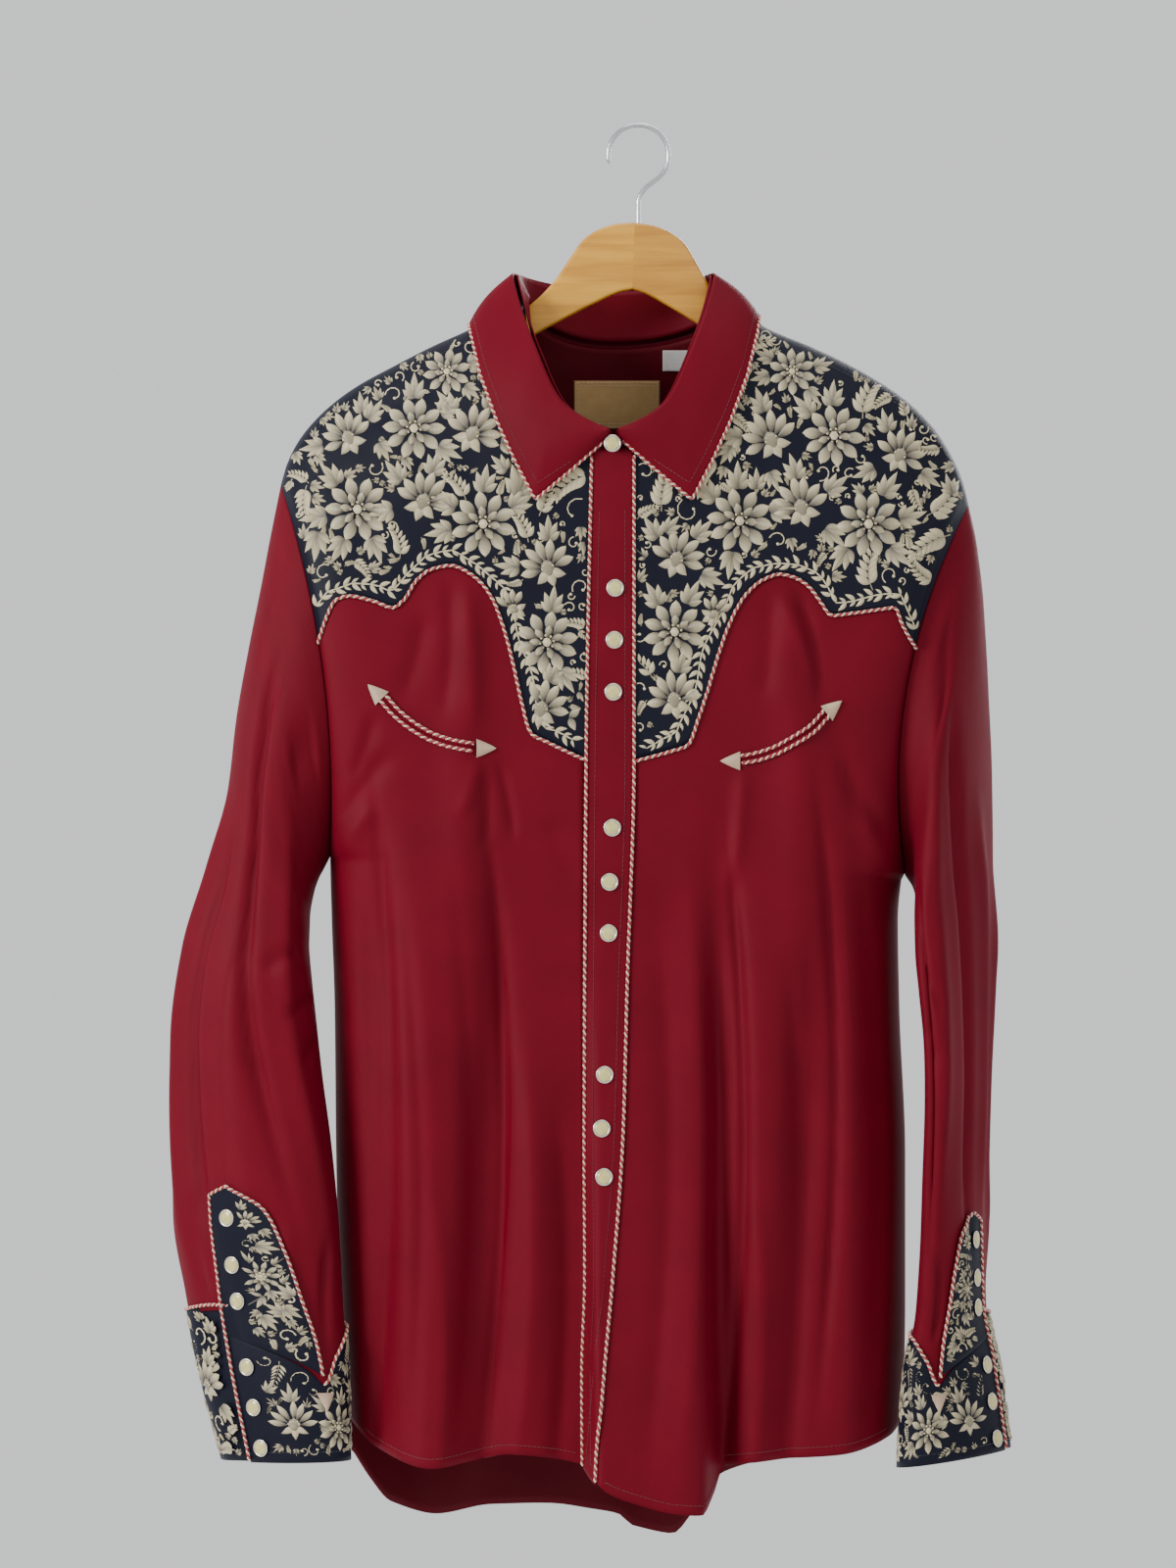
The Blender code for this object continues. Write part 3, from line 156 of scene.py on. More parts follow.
# Sleeve creases: ring and degrees at each end, out or in, half width in millimetres.
sleeveCreases = {
    "left": (
        (5.0, 44, 10.9, 60, -7.0, 5), (1.2, 62, 10.2, 122, -7.0, 5.5), (2.6, 118, 10.6, 158, 4.5, 9),
        (4.6, 20, 10.6, 28, 4.0, 8), (6.2, 84, 10.6, 92, 3.4, 10), (5.6, 140, 6.7, 100, -2.6, 5),
        (6.4, 168, 7.3, 120, -3.0, 5), (7.3, 172, 7.9, 138, -2.2, 5), (0.7, 110, 2.4, 100, -3.0, 7),
        (10.2, 150, 11.8, 138, -3.4, 4), (10.0, 112, 11.3, 124, 2.6, 5), (9.6, 42, 11.2, 46, -2.6, 5),
        (3.4, 196, 10.6, 226, -5.0, 10), (3.0, 280, 10.8, 262, -5.0, 11), (5.2, 318, 10.8, 322, 5.0, 10),
        (6.6, 240, 7.2, 300, -3.0, 6),
    ),
    "right": (
        (2.2, 62, 10.2, 44, -7.5, 5), (1.0, 96, 9.6, 92, 3.4, 10), (3.2, 126, 10.4, 120, -4.4, 8),
        (4.2, 16, 10.0, 12, 4.0, 8), (5.8, 120, 6.9, 84, -2.6, 5), (6.8, 128, 7.6, 92, -2.6, 5),
        (10.0, 96, 11.6, 102, -3.4, 4), (0.8, 60, 2.4, 74, -3.0, 7), (3.4, 196, 10.6, 220, -5.0, 10),
        (3.0, 290, 10.8, 270, -5.0, 11), (5.2, 330, 10.8, 330, 5.0, 10), (6.6, 240, 7.2, 300, -3.0, 6),
    ),
}
cuff = {
    "turn": {"left": 0.0, "right": -38.0}, "opening": 60.0, "point": 135.0, "underlap": 26.0,
    "top": (
        (60, 11.6), (90, 11.85), (120, 12.1), (135, 12.27), (150, 11.95), (180, 11.5), (225, 11.35),
        (270, 11.3), (360, 11.25), (420, 11.1), (446, 11.1),
    ),
    "gauntletTop": 74.0, "gauntletRing": 9.62,
    "gauntletEdge": ((74, 9.62), (97, 9.85), (112, 10.4), (121, 11.0), (128, 11.6), (133, 12.18)),
}
collar = {
    # degrees from the back, half width, y, z
    "fold": (
        (0, 0, 42, -108), (25, 26, 40, -107), (50, 50, 31, -103), (75, 64, 12, -99.5), (95, 66, -7, -101),
        (115, 59, -28, -128), (135, 49, -43, -156), (155, 33, -52, -190), (170, 14, -56, -204),
        (180, 2.5, -57, -209),
    ),
    # degrees from the back, half width, z
    "edge": (
        (0, 0, -160), (25, 40, -158), (50, 76, -150), (70, 92, -141), (85, 97, -134), (97, 95, -142),
        (110, 88, -172), (125, 77, -203), (140, 65, -230), (153, 52, -255), (166, 28, -235),
        (180, 3.5, -214),
    ),
    "lift": 4.2, "bulge": 4.0, "standLift": 1.8,
}


def mix(a, b, t):
    return a + (b - a) * t


def ease(t):
    t = np.clip(t, 0.0, 1.0)
    return t * t * (3 - 2 * t)


def quarter(t):
    t = np.clip(t, 0.0, 1.0)
    return np.sqrt(1 - (1 - t) ** 2)


def along(rows, at, column=1):  # smooth value of a table at places along its first column
    table = np.array(rows, float)
    x, y = table[:, 0], table[:, column]
    chord = np.diff(y) / np.diff(x)
    slope = np.zeros(len(x))
    slope[0], slope[-1] = chord[0], chord[-1]
    same = chord[:-1] * chord[1:] > 0
    total = np.where(same, chord[:-1] + chord[1:], 1.0)
    slope[1:-1] = np.where(same, 2 * chord[:-1] * chord[1:] / total, 0.0)
    at = np.clip(np.asarray(at, float), x[0], x[-1])
    k = np.clip(np.searchsorted(x, at) - 1, 0, len(x) - 2)
    h = x[k + 1] - x[k]
    t = (at - x[k]) / h
    return (
        y[k] * (1 + 2 * t) * (1 - t) ** 2
        + slope[k] * h * t * (1 - t) ** 2
        + y[k + 1] * t * t * (3 - 2 * t)
        + slope[k + 1] * h * t * t * (t - 1)
    )


def unit(v):
    return v / np.maximum(np.linalg.norm(v, axis=-1, keepdims=True), 1e-9)


# The body's form: how far front and back stand from the hanger's plane.


def ridgeHeight(x):
    return along(form["ridge"], x)


def armhole(side, z):
    xo, _, zo, xi, _, zi, depth, _, bow = sleeveRings[side][0]
    share = np.clip((z - (zo + zi) / 2) / ((zo - zi) / 2), -1.0, 1.0)
    out = 1 - share * share
    above = z > zi
    edge = np.where(
        above,
        (xo + xi) / 2 + share * (xo - xi) / 2 + bow * out,
        along(form["sides"], z, 1 if side == "left" else 2),
    )
    return edge, np.where(above, depth * np.sqrt(out), 0.0)


def hangingFolds(rows, x, z):
    total = np.zeros(np.broadcast(x, z).shape)
    for topX, topZ, lowX, lowZ, out, half in rows:
        t = (topZ - z) / (topZ - lowZ)
        off = (x - mix(topX, lowX, np.clip(t, 0, 1))) / half
        total += np.where(t > 0, out * ease(t * 2.2) * np.exp(-off * off), 0)
    return total


def creases(rows, x, z):
    total = np.zeros(np.broadcast(x, z).shape)
    for x0, z0, x1, z1, out, half in rows:
        size = math.hypot(x1 - x0, z1 - z0)
        runX, runZ = (x1 - x0) / size, (z1 - z0) / size
        t = ((x - x0) * runX + (z - z0) * runZ) / size
        off = ((x - x0) * runZ - (z - z0) * runX + 0.03 * size * np.sin(3.2 * t)) / half
        fade = ease(t / 0.28) * ease((1.06 - t) / 0.3)
        total += out * fade * np.exp(-np.abs(off) ** 1.7)
    return total


def halfDepth(x, z, front):
    drop = ridgeHeight(x) - z
    low = np.maximum(-300 - z, 0)
    if front:
        depth = 11 + 47 * (1 - np.exp(-np.maximum(drop, 0) / 62)) + 0.018 * low
        left = ease((x - lapFold["left"]) / lapFold["leftWidth"])
        right = ease((x - lapFold["right"]) / lapFold["rightWidth"])
        depth = depth + hangingFolds(frontFolds, x, z) + along(lapFold["out"], z) * left * (1 - right)
        depth = depth + creases(frontCreases, x, z) + creases(yokeCreases, x, z)
        depth = depth + 0.5 * np.sin(x / 13.0 + z / 61.0) * ease(low / 200)
    else:
        depth = 11 + 40 * (1 - np.exp(-np.maximum(drop, 0) / 60)) + 0.026 * low
        depth = depth + hangingFolds(backFolds, x, z) + creases(backCreases, x, z)
        depth = depth + 0.5 * np.sin(x / 11.0 - z / 53.0) * ease(low / 200)
    width = along(form["sideRound"], z)
    for side, way in (("left", 1), ("right", -1)):
        edge, openHalf = armhole(side, z)
        share = quarter(way * (x - edge) / width)
        depth = openHalf + (depth - openHalf) * share
    return np.maximum(depth * quarter(drop / form["ridgeRound"]), 0.45)


def bodyPoint(x, z, front, out=0.0):  # points on the cloth, and the way each faces
    x, z = np.broadcast_arrays(np.asarray(x, float), np.asarray(z, float))
    way = -1.0 if front else 1.0
    slopeX = (halfDepth(x + 0.8, z, front) - halfDepth(x - 0.8, z, front)) / 1.6
    slopeZ = (halfDepth(x, z + 0.8, front) - halfDepth(x, z - 0.8, front)) / 1.6
    facing = unit(np.stack([-slopeX, np.full(x.shape, way), -slopeZ], -1))
    point = np.stack([x, way * halfDepth(x, z, front), z], -1)
    return point + facing * np.asarray(out, float)[..., None], facing


def neckHalf(x):
    return np.where(x < form["neckX"], form["neckLeft"], form["neckRight"])


def frontNeck(x):
    share = np.minimum(np.abs(x - form["neckX"]) / neckHalf(x), 1.0)
    return form["neckZ"] - form["neckFront"] * np.sqrt(1 - share * share)


def backNeck(x):
    share = np.minimum(np.abs(x - form["neckX"]) / neckHalf(x), 1.0)
    return form["neckZ"] - form["neckBack"] * np.sqrt(1 - share * share)


def placketEdge(z, side):
    return along(form["placket"], z, 1 if side == "left" else 2)


# The sleeves' form. Degrees go from the outer fold round by the front.


def sleevePoint(side, ring, angle, out=0.0):
    rows = [(k, *row) for k, row in enumerate(sleeveRings[side])]
    ring, angle = np.broadcast_arrays(np.asarray(ring, float), np.asarray(angle, float))

    def bare(ring, angle):
        xo, yo, zo, xi, yi, zi, depth, lean, bow = (along(rows, ring, c) for c in range(1, 10))
        turn = np.radians(angle)
        c, s = np.cos(turn), np.sin(turn)
        x = (xo + xi) / 2 + (xo - xi) / 2 * c + bow * s * s + lean * s
        y = (yo + yi) / 2 + (yo - yi) / 2 * c - depth * s
        z = (zo + zi) / 2 + (zo - zi) / 2 * c
        return np.stack([x, y, z], -1)

    around = bare(ring, angle + 1.5) - bare(ring, angle - 1.5)
    down = bare(np.minimum(ring + 0.05, 13), angle) - bare(np.maximum(ring - 0.05, 0), angle)
    facing = unit(np.cross(around, down)) * (-1 if side == "left" else 1)
    bump = np.zeros(ring.shape)
    for r0, a0, r1, a1, size, half in sleeveCreases[side]:
        length = math.hypot((r1 - r0) * 50, (a1 - a0) * 0.85)
        runA, runR = (a1 - a0) * 0.85 / length, (r1 - r0) * 50 / length
        here = (np.mod(angle - min(a0, a1) + 90, 360) - 90 + min(a0, a1) - a0) * 0.85
        t = (here * runA + (ring - r0) * 50 * runR) / length
        off = (here * runR - (ring - r0) * 50 * runA + 0.03 * length * np.sin(3.2 * t)) / half
        bump += size * ease(t / 0.25) * ease((1.05 - t) / 0.3) * np.exp(-np.abs(off) ** 1.7)
    bump = bump * ease(ring / 1.2) * ease((13.4 - ring) / 1.6)
    return bare(ring, angle) + facing * (bump + np.asarray(out, float))[..., None], facing


def cuffTop(angle):
    return along(cuff["top"], np.where(angle >= cuff["opening"], angle, angle + 360))


def turned(side, angle):
    return angle + cuff["turn"][side]


# Finishes.


def startFinish(name, colour, roughness, **sockets):
    finish = bpy.data.materials.new(name)
    finish.use_nodes = True
    tree = finish.node_tree
    shader = tree.nodes["Principled BSDF"]
    shader.inputs["Base Color"].default_value = (*colour, 1)
    shader.inputs["Roughness"].default_value = roughness
    for socket, value in sockets.items():
        shader.inputs[socket].default_value = value
    return finish, tree, shader


def addNode(tree, kind, **settings):
    node = tree.nodes.new(kind)
    for key, value in settings.items():
        if key in node.inputs:
            node.inputs[key].default_value = value
        else:
            setattr(node, key, value)
    return node


def blendColours(tree, factor, first, second):
    blend = addNode(tree, "ShaderNodeMix", data_type="RGBA")
    tree.links.new(factor, blend.inputs[0])
    blend.inputs[6].default_value = (*first, 1)
    if hasattr(second, "links"):
        tree.links.new(second, blend.inputs[7])
    else:
        blend.inputs[7].default_value = (*second, 1)
    return blend


def addBump(tree, shader, height, strength, distance, below=None):
    bump = addNode(tree, "ShaderNodeBump")
    bump.inputs["Strength"].default_value = strength
    bump.inputs["Distance"].default_value = distance
    tree.links.new(height, bump.inputs["Height"])
    if below is not None:
        tree.links.new(below.outputs["Normal"], bump.inputs["Normal"])
    tree.links.new(bump.outputs["Normal"], shader.inputs["Normal"])
    return bump


def clothFinish(name, look):  # twill: fine diagonal ribs on the piece's own UV map, in 100 mm units
    finish, tree, shader = startFinish(
        name, look["colour"], look["roughness"],
        **{
            "Sheen Weight": look["sheen"], "Sheen Roughness": 0.4,
            "Sheen Tint": (*look["sheenTint"], 1), "Specular IOR Level": look["specular"],
            "Anisotropic": 0.35,
        },
    )
    uv = addNode(tree, "ShaderNodeUVMap", uv_map="UVMap")
    patches = addNode(tree, "ShaderNodeTexNoise", Scale=2.4, Detail=3.0)
    grain = addNode(tree, "ShaderNodeTexNoise", Scale=90.0, Detail=2.0)
    ribs = addNode(
        tree, "ShaderNodeTexWave", wave_type="BANDS", bands_direction="DIAGONAL", Scale=look["ribs"]
    )
    for texture in (patches, grain, ribs):
        tree.links.new(uv.outputs[0], texture.inputs["Vector"])
    spread = addNode(tree, "ShaderNodeMapRange")
    spread.inputs["From Min"].default_value, spread.inputs["From Max"].default_value = 0.3, 0.7
    tree.links.new(patches.outputs["Fac"], spread.inputs["Value"])
    wide = blendColours(tree, spread.outputs[0], look["colour"], look["light"])
    specks = addNode(tree, "ShaderNodeMix", data_type="RGBA", blend_type="MULTIPLY")
    specks.inputs[0].default_value = 0.18
    tree.links.new(wide.outputs[2], specks.inputs[6])
    tree.links.new(grain.outputs["Fac"], specks.inputs[7])
    tree.links.new(specks.outputs[2], shader.inputs["Base Color"])
    first = addBump(tree, shader, ribs.outputs["Fac"], look["bump"], 0.0002)
    addBump(tree, shader, grain.outputs["Fac"], 0.12, 0.0003, first)
    return finish


def threadFinish(name, look):  # satin stitches run across each shape, so the ribs follow its length
    finish, tree, shader = startFinish(
        name, look["light"], look["roughness"],
        **{"Sheen Weight": 0.3, "Sheen Roughness": 0.35, "Specular IOR Level": 0.55, "Anisotropic": 0.5},
    )
    uv = addNode(tree, "ShaderNodeUVMap", uv_map="UVMap")
    stitches = addNode(
        tree, "ShaderNodeTexWave", wave_type="BANDS", bands_direction="X", Scale=look["stitch"]
    )
    stitches.inputs["Distortion"].default_value = 0.6
    tree.links.new(uv.outputs[0], stitches.inputs["Vector"])
    # The tone attribute blends the near-black shade colour into the cream: painted shade at petal roots and
    # rims, painted highlight on each crest.
    tone = addNode(tree, "ShaderNodeAttribute", attribute_name="tone")
    shaded = blendColours(tree, tone.outputs["Fac"], look["shade"], look["light"])
    # The stitch bands also darken the colour: painted shade in the grooves between stitches.
    lines = addNode(tree, "ShaderNodeMix", data_type="RGBA", blend_type="MULTIPLY")
    lines.inputs[0].default_value = 0.5
    tree.links.new(shaded.outputs[2], lines.inputs[6])
    tree.links.new(stitches.outputs["Fac"], lines.inputs[7])
    tree.links.new(lines.outputs[2], shader.inputs["Base Color"])
    addBump(tree, shader, stitches.outputs["Fac"], 0.5, 0.0003)
    return finish


def fibreFinish(name, colour, light, scale):
    finish, tree, shader = startFinish(
        name, colour, 0.55, **{"Sheen Weight": 0.35, "Sheen Roughness": 0.4, "Specular IOR Level": 0.4}
    )
    place = addNode(tree, "ShaderNodeTexCoord")
    fibres = addNode(tree, "ShaderNodeTexNoise", Scale=scale, Detail=2.0)
    tree.links.new(place.outputs["Object"], fibres.inputs["Vector"])
    tint = blendColours(tree, fibres.outputs["Fac"], colour, light)
    tree.links.new(tint.outputs[2], shader.inputs["Base Color"])
    addBump(tree, shader, fibres.outputs["Fac"], 0.35, 0.0003)
    return finish


looks = {
    "redTwill": {
        "colour": (0.108, 0.0003, 0.0072), "light": (0.124, 0.0004, 0.0086), "roughness": 0.56, "sheen": 0.05,
        "sheenTint": (1.0, 0.05, 0.16), "specular": 0.09, "ribs": 62.0, "bump": 0.3,
    },
    # The cloth's inner side is the same red twill a third darker: painted shade inside the shirt.
    "redInsidePaintedShade": {
        "colour": (0.072, 0.0003, 0.005), "light": (0.084, 0.0004, 0.006), "roughness": 0.6, "sheen": 0.04,
        "sheenTint": (1.0, 0.1, 0.15), "specular": 0.1, "ribs": 62.0, "bump": 0.3,
    },
    "navyTwill": {
        "colour": (0.0016, 0.0024, 0.0092), "light": (0.0022, 0.0032, 0.0115), "roughness": 0.5,
        "sheen": 0.03, "sheenTint": (0.5, 0.6, 1.0), "specular": 0.14, "ribs": 62.0, "bump": 0.3,
    },
    # For the threads, shade is the near-black painted shade at each shape's root where petals meet; light is
    # the thread's cream.
    "creamThread": {
        "light": (0.70, 0.60, 0.36), "shade": (0.030, 0.024, 0.018), "roughness": 0.36, "stitch": 36.0,
    },
    "arrowThread": {
        "light": (0.62, 0.46, 0.30), "shade": (0.36, 0.20, 0.13), "roughness": 0.42, "stitch": 50.0,
    },
}
redTwill = clothFinish("red_twill", looks["redTwill"])
# Inner faces and the lining take this darker copy: painted shade.
redInsidePaintedShade = clothFinish("red_twill_inside_painted_shade", looks["redInsidePaintedShade"])
navyTwill = clothFinish("navy_twill", looks["navyTwill"])
creamThread = threadFinish("cream_thread", looks["creamThread"])
arrowThread = threadFinish("arrow_thread", looks["arrowThread"])
creamStrand = fibreFinish("cream_strand", (0.56, 0.38, 0.26), (0.70, 0.52, 0.37), 900.0)
redStrand = fibreFinish("red_strand", (0.24, 0.004, 0.012), (0.32, 0.01, 0.02), 900.0)
redStitch = fibreFinish("red_stitch", (0.075, 0.0003, 0.005), (0.105, 0.0005, 0.007), 900.0)
navyStitch = fibreFinish("navy_stitch", (0.003, 0.004, 0.013), (0.005, 0.007, 0.02), 900.0)
tagCloth = fibreFinish("tag_cloth", (0.42, 0.41, 0.39), (0.50, 0.49, 0.47), 500.0)
print("finishes ready")


# Cloth panels: a flat grid is laid on the form, then given its thickness.


def deselect():
    bpy.ops.object.select_all(action="DESELECT")


def claim(piece, slotName, *cadNodes):
    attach(piece, "root")
    if cadNodes:
        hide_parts(*cadNodes)


def clothPanel(name, across, up, place, finish, wall=1.0, closed=False, inside=None):
    deselect()
    bpy.ops.mesh.primitive_grid_add(x_subdivisions=across, y_subdivisions=up, size=1)
    panel = bpy.context.object
    panel.name = name
    mesh = panel.data
    flat = np.empty(len(mesh.vertices) * 3)
    mesh.vertices.foreach_get("co", flat)
    flat = flat.reshape(-1, 3) + 0.5
    points, chart = place(flat[:, 0], flat[:, 1])
    mesh.vertices.foreach_set("co", (points * toMetres).ravel())
    corner = np.empty(len(mesh.loops), int)
    mesh.loops.foreach_get("vertex_index", corner)
    uv = mesh.uv_layers.active
    uv.name = "UVMap"
    uv.data.foreach_set("uv", (np.stack(chart, -1)[corner] / 100.0).ravel())
    mesh.update()
    bpy.ops.object.shade_smooth()
    if closed:
        bpy.ops.object.mode_set(mode="EDIT")
        bpy.ops.mesh.select_all(action="SELECT")
        bpy.ops.mesh.remove_doubles(threshold=0.00002)
        bpy.ops.object.mode_set(mode="OBJECT")
    mesh.materials.append(finish)
    mesh.materials.append(inside or finish)
    solid = panel.modifiers.new("wall", "SOLIDIFY")
    solid.thickness = wall * toMetres
    solid.offset = -1
    solid.material_offset = 1
    bpy.ops.object.modifier_apply(modifier=solid.name)
    return panel


panels = {
    "seamGap": 0.25, "frontGrid": (78, 160), "yokeGrid": (80, 72), "backGrid": (112, 130),
    "backYokeGrid": (130, 60), "sleeveGrid": (92, 140), "cornerOffsets": (0.0, 2.5, 9.0, 20.0, 34.0, 50.0),
    "shoulderColumns": 12,
}


def seamLine(side, off=0.0):  # the yoke seam as a table by column, moved off sideways
    seam = form["yokeLeft"] if side == "left" else form["yokeRight"]
    rows = []
    for k, (x, z) in enumerate(seam):
        before, after = seam[max(k - 1, 0)], seam[min(k + 1, len(seam) - 1)]
        runX, runZ = after[0] - before[0], after[1] - before[1]
        size = math.hypot(runX, runZ) * (1 if runX > 0 else -1)
        rows.append((k, x - runZ / size * off, z + runX / size * off))
    return rows


def frontPlan(side, c, t):
    seam = seamLine(side, -panels["seamGap"])
    last = len(seam) - 1
    way = 1 if side == "left" else -1
    hemWidth = abs(float(placketEdge(-890, side)) - float(armhole(side, -890)[0]))
    corner = panels["cornerOffsets"]
    plain = len(seam) - len(corner)
    offsets = list(corner) + [mix(corner[-1], hemWidth, (k + 1) / plain) for k in range(plain)]
    hemRows, seamRows = [], []
    for (k, x, z), offset in zip(seam, offsets):
        edge = float(armhole(side, z)[0])
        share = way * (x - edge) / abs(float(placketEdge(z, side)) - edge)
        share = 0.0 if k == 0 else 1.0 if k == last else share
        hemRows.append((k, offset / hemWidth))
        seamRows.append((k, share))
    share = mix(along(hemRows, c), along(seamRows, c), ease(t))
    top, armpit = along(seam, c, 2), sleeveRings[side][0][5]
    z = np.full(c.shape, -700.0)
    for _ in range(8):
        edge = armhole(side, z)[0]
        x = mix(edge, placketEdge(z, side) - way * panels["seamGap"], share)
        low = along(form["frontHem"], x)
        z = np.where(t < 0.62, mix(low, armpit, t / 0.62), mix(armpit, top, (t - 0.62) / 0.38))
    return x, z


def makeFront(side):
    last = len(form["yokeLeft"]) - 1

    def place(u, v):
        c = (u if side == "left" else 1 - u) * last
        x, z = frontPlan(side, c, v)
        return bodyPoint(x, z, True)[0], (x, z)

    return clothPanel(f"front_{side}_cloth", *panels["frontGrid"], place, redTwill, inside=redInsidePaintedShade)


def yokeTop(side, c):
    way, half = (-1, form["neckLeft"]) if side == "left" else (1, form["neckRight"])
    tip = form["ridge"][0][0] if side == "left" else form["ridge"][-1][0]
    last, shoulder = len(form["yokeLeft"]) - 1, panels["shoulderColumns"]
    share = np.clip(c / shoulder, 0, 1)
    x = mix(tip, form["neckX"] + way * half, 1 - (1 - share) ** 1.15)
    end = math.acos(abs(float(placketEdge(-218, side)) - form["neckX"]) / half)
    turn = end * np.clip((c - shoulder) / (last - shoulder), 0, 1)
    neckX = form["neckX"] + way * half * np.cos(turn)
    onNeck = c > shoulder
    return np.where(onNeck, neckX, x), np.where(onNeck, frontNeck(neckX), ridgeHeight(x))


def armholeBend(side, low, top, t):
    return armhole(side, mix(low[1], top[1], t))[0] - mix(low[0], top[0], t)


def yokePlan(side, c, v):
    seam = seamLine(side, panels["seamGap"])
    last = len(seam) - 1
    way = 1 if side == "left" else -1
    lowX, lowZ = along(seam, c, 1), along(seam, c, 2)
    topX, topZ = yokeTop(side, c)
    t = 1 - (1 - v) ** 1.7
    tipX, tipZ = (float(e[0]) for e in yokeTop(side, np.zeros(1)))
    bend = armholeBend(side, seam[0][1:], (tipX, tipZ), t)
    x = mix(lowX, topX, t) + bend * (1 - c / last) ** 3
    z = mix(lowZ, topZ, t)
    near = ease((c - last + 1) / 1.0)
    closeness = near * np.where(c >= last - 0.001, 1, near)
    return mix(x, placketEdge(z, side) - way * panels["seamGap"], closeness), z


def makeFrontYoke(side):
    last = len(form["yokeLeft"]) - 1

    def place(u, v):
        c = (u if side == "left" else 1 - u) * last
        x, z = yokePlan(side, c, v)
        return bodyPoint(x, z, True)[0], (x, z)

    return clothPanel(f"front_yoke_{side}_cloth", *panels["yokeGrid"], place, navyTwill)


def backShare(u):
    return mix(0.5 - 0.5 * np.cos(np.pi * u), u, 0.45)


def backSeam(share, off=0.0):
    place = np.minimum(share, 1 - share) * 2
    slope = (along(form["backYoke"], place + 0.01) - along(form["backYoke"], place - 0.01)) / 3.9
    return along(form["backYoke"], place) + off * np.hypot(1, slope)


def backX(share, z):
    return mix(armhole("left", z)[0], armhole("right", z)[0], share)


def makeBack():
    def place(u, v):
        share = backShare(1 - u)
        armpit = mix(sleeveRings["left"][0][5], sleeveRings["right"][0][5], share)
        top = backSeam(share, -panels["seamGap"])
        z = np.full(u.shape, -700.0)
        for _ in range(8):
            x = backX(share, z)
            low = along(form["backHem"], x)
            z = np.where(v < 0.62, mix(low, armpit, v / 0.62), mix(armpit, top, (v - 0.62) / 0.38))
        return bodyPoint(x, z, False)[0], (x, z)

    return clothPanel("back_cloth", *panels["backGrid"], place, redTwill, inside=redInsidePaintedShade)


def backYokeTop(share):
    left, right = form["neckX"] - form["neckLeft"], form["neckX"] + form["neckRight"]
    third = share * 3
    shoulder = np.where(
        third < 1.5, mix(form["ridge"][0][0], left, third), mix(right, form["ridge"][-1][0], third - 2)
    )
    turn = np.pi * np.clip(third - 1, 0, 1)
    half = np.where(np.cos(turn) > 0, form["neckLeft"], form["neckRight"])
    neckX = form["neckX"] - np.cos(turn) * half
    onNeck = (third > 1) & (third < 2)
    return np.where(onNeck, neckX, shoulder), np.where(onNeck, backNeck(neckX), ridgeHeight(shoulder))


def makeBackYoke():
    def place(u, v):
        column = 1 - u
        share = backShare(column)
        low = backSeam(share, panels["seamGap"])
        topX, topZ = backYokeTop(column)
        t = 1 - (1 - v) ** 1.7
        z = mix(low, topZ, t)
        end = float(backSeam(0.0, panels["seamGap"]))
        bends = []
        for side, tip in (("left", form["ridge"][0]), ("right", form["ridge"][-1])):
            bends.append(armholeBend(side, (float(armhole(side, end)[0]), end), tip, t))
        bend = np.where(share < 0.5, bends[0], bends[1])
        x = mix(backX(share, low), topX, t) + bend * (1 - np.minimum(share, 1 - share) * 2) ** 6
        return bodyPoint(x, z, False)[0], (x, z)

    return clothPanel("back_yoke_cloth", *panels["backYokeGrid"], place, navyTwill, inside=redInsidePaintedShade)


def makeLining():
    def place(u, v):
        x = mix(-80.0, 64.0, 1 - u)
        top = np.minimum(backNeck(x), ridgeHeight(x) - 20) - 2.0
        z = mix(-240.0, top, v)
        return bodyPoint(x, z, False, np.full(u.shape, -3.0))[0], (x, z)

    return clothPanel("back_yoke_lining_cloth", 50, 30, place, redInsidePaintedShade, wall=0.8)


def makePlacket():
    def place(u, v):
        low = along(form["frontHem"], mix(-37.0, -28.5, u)) - 1
        z = mix(low, frontNeck(mix(-31.0, -4.0, u)) - 1.2, v)
        x = mix(placketEdge(z, "left") + 0.3, placketEdge(z, "right") - 0.3, u)
        crown = 0.8 + 0.5 * np.sin(np.pi * u) + 0.35 * np.sin(z / 9.0) * np.sin(np.pi * u) * np.sin(z / 47.0)
        return bodyPoint(x, z, True, crown)[0], (x, z)

    return clothPanel("placket_cloth", 14, 260, place, redTwill)


def makeSleeve(side):
    def place(u, v):
        angle = 360 * (u if side == "left" else 1 - u)
        feature = np.mod(angle - cuff["turn"][side], 360)
        under = (feature >= cuff["opening"] - 1) & (feature < cuff["opening"] + 14)
        end = cuffTop(np.where(under, feature + 360, feature)) + 0.10
        tucked = np.full(u.shape, -0.35) * ease((0.1 - v) / 0.06)
        point = sleevePoint(side, mix(end, 0.015, v), angle, tucked)[0]
        return point, (u * 270, v * 620)

    return clothPanel(
        f"sleeve_{side}_cloth", *panels["sleeveGrid"], place, redTwill, closed=True, inside=redInsidePaintedShade
    )


def makeCuff(side):
    def place(u, v):
        end = cuff["opening"] + 360 + cuff["underlap"]
        angle = mix(cuff["opening"], end, u) if side == "left" else mix(end, cuff["opening"], u)
        ring = mix(13.0, cuffTop(angle) + 0.02, v)
        out = 1.1 - 4.1 * ease((angle - 380) / 36) + 0.5 * np.sin(np.pi * v)
        return sleevePoint(side, ring, turned(side, angle), out)[0], (u * 250, v * 70)

    return clothPanel(f"cuff_{side}_cloth", 110, 24, place, navyTwill, wall=1.2)


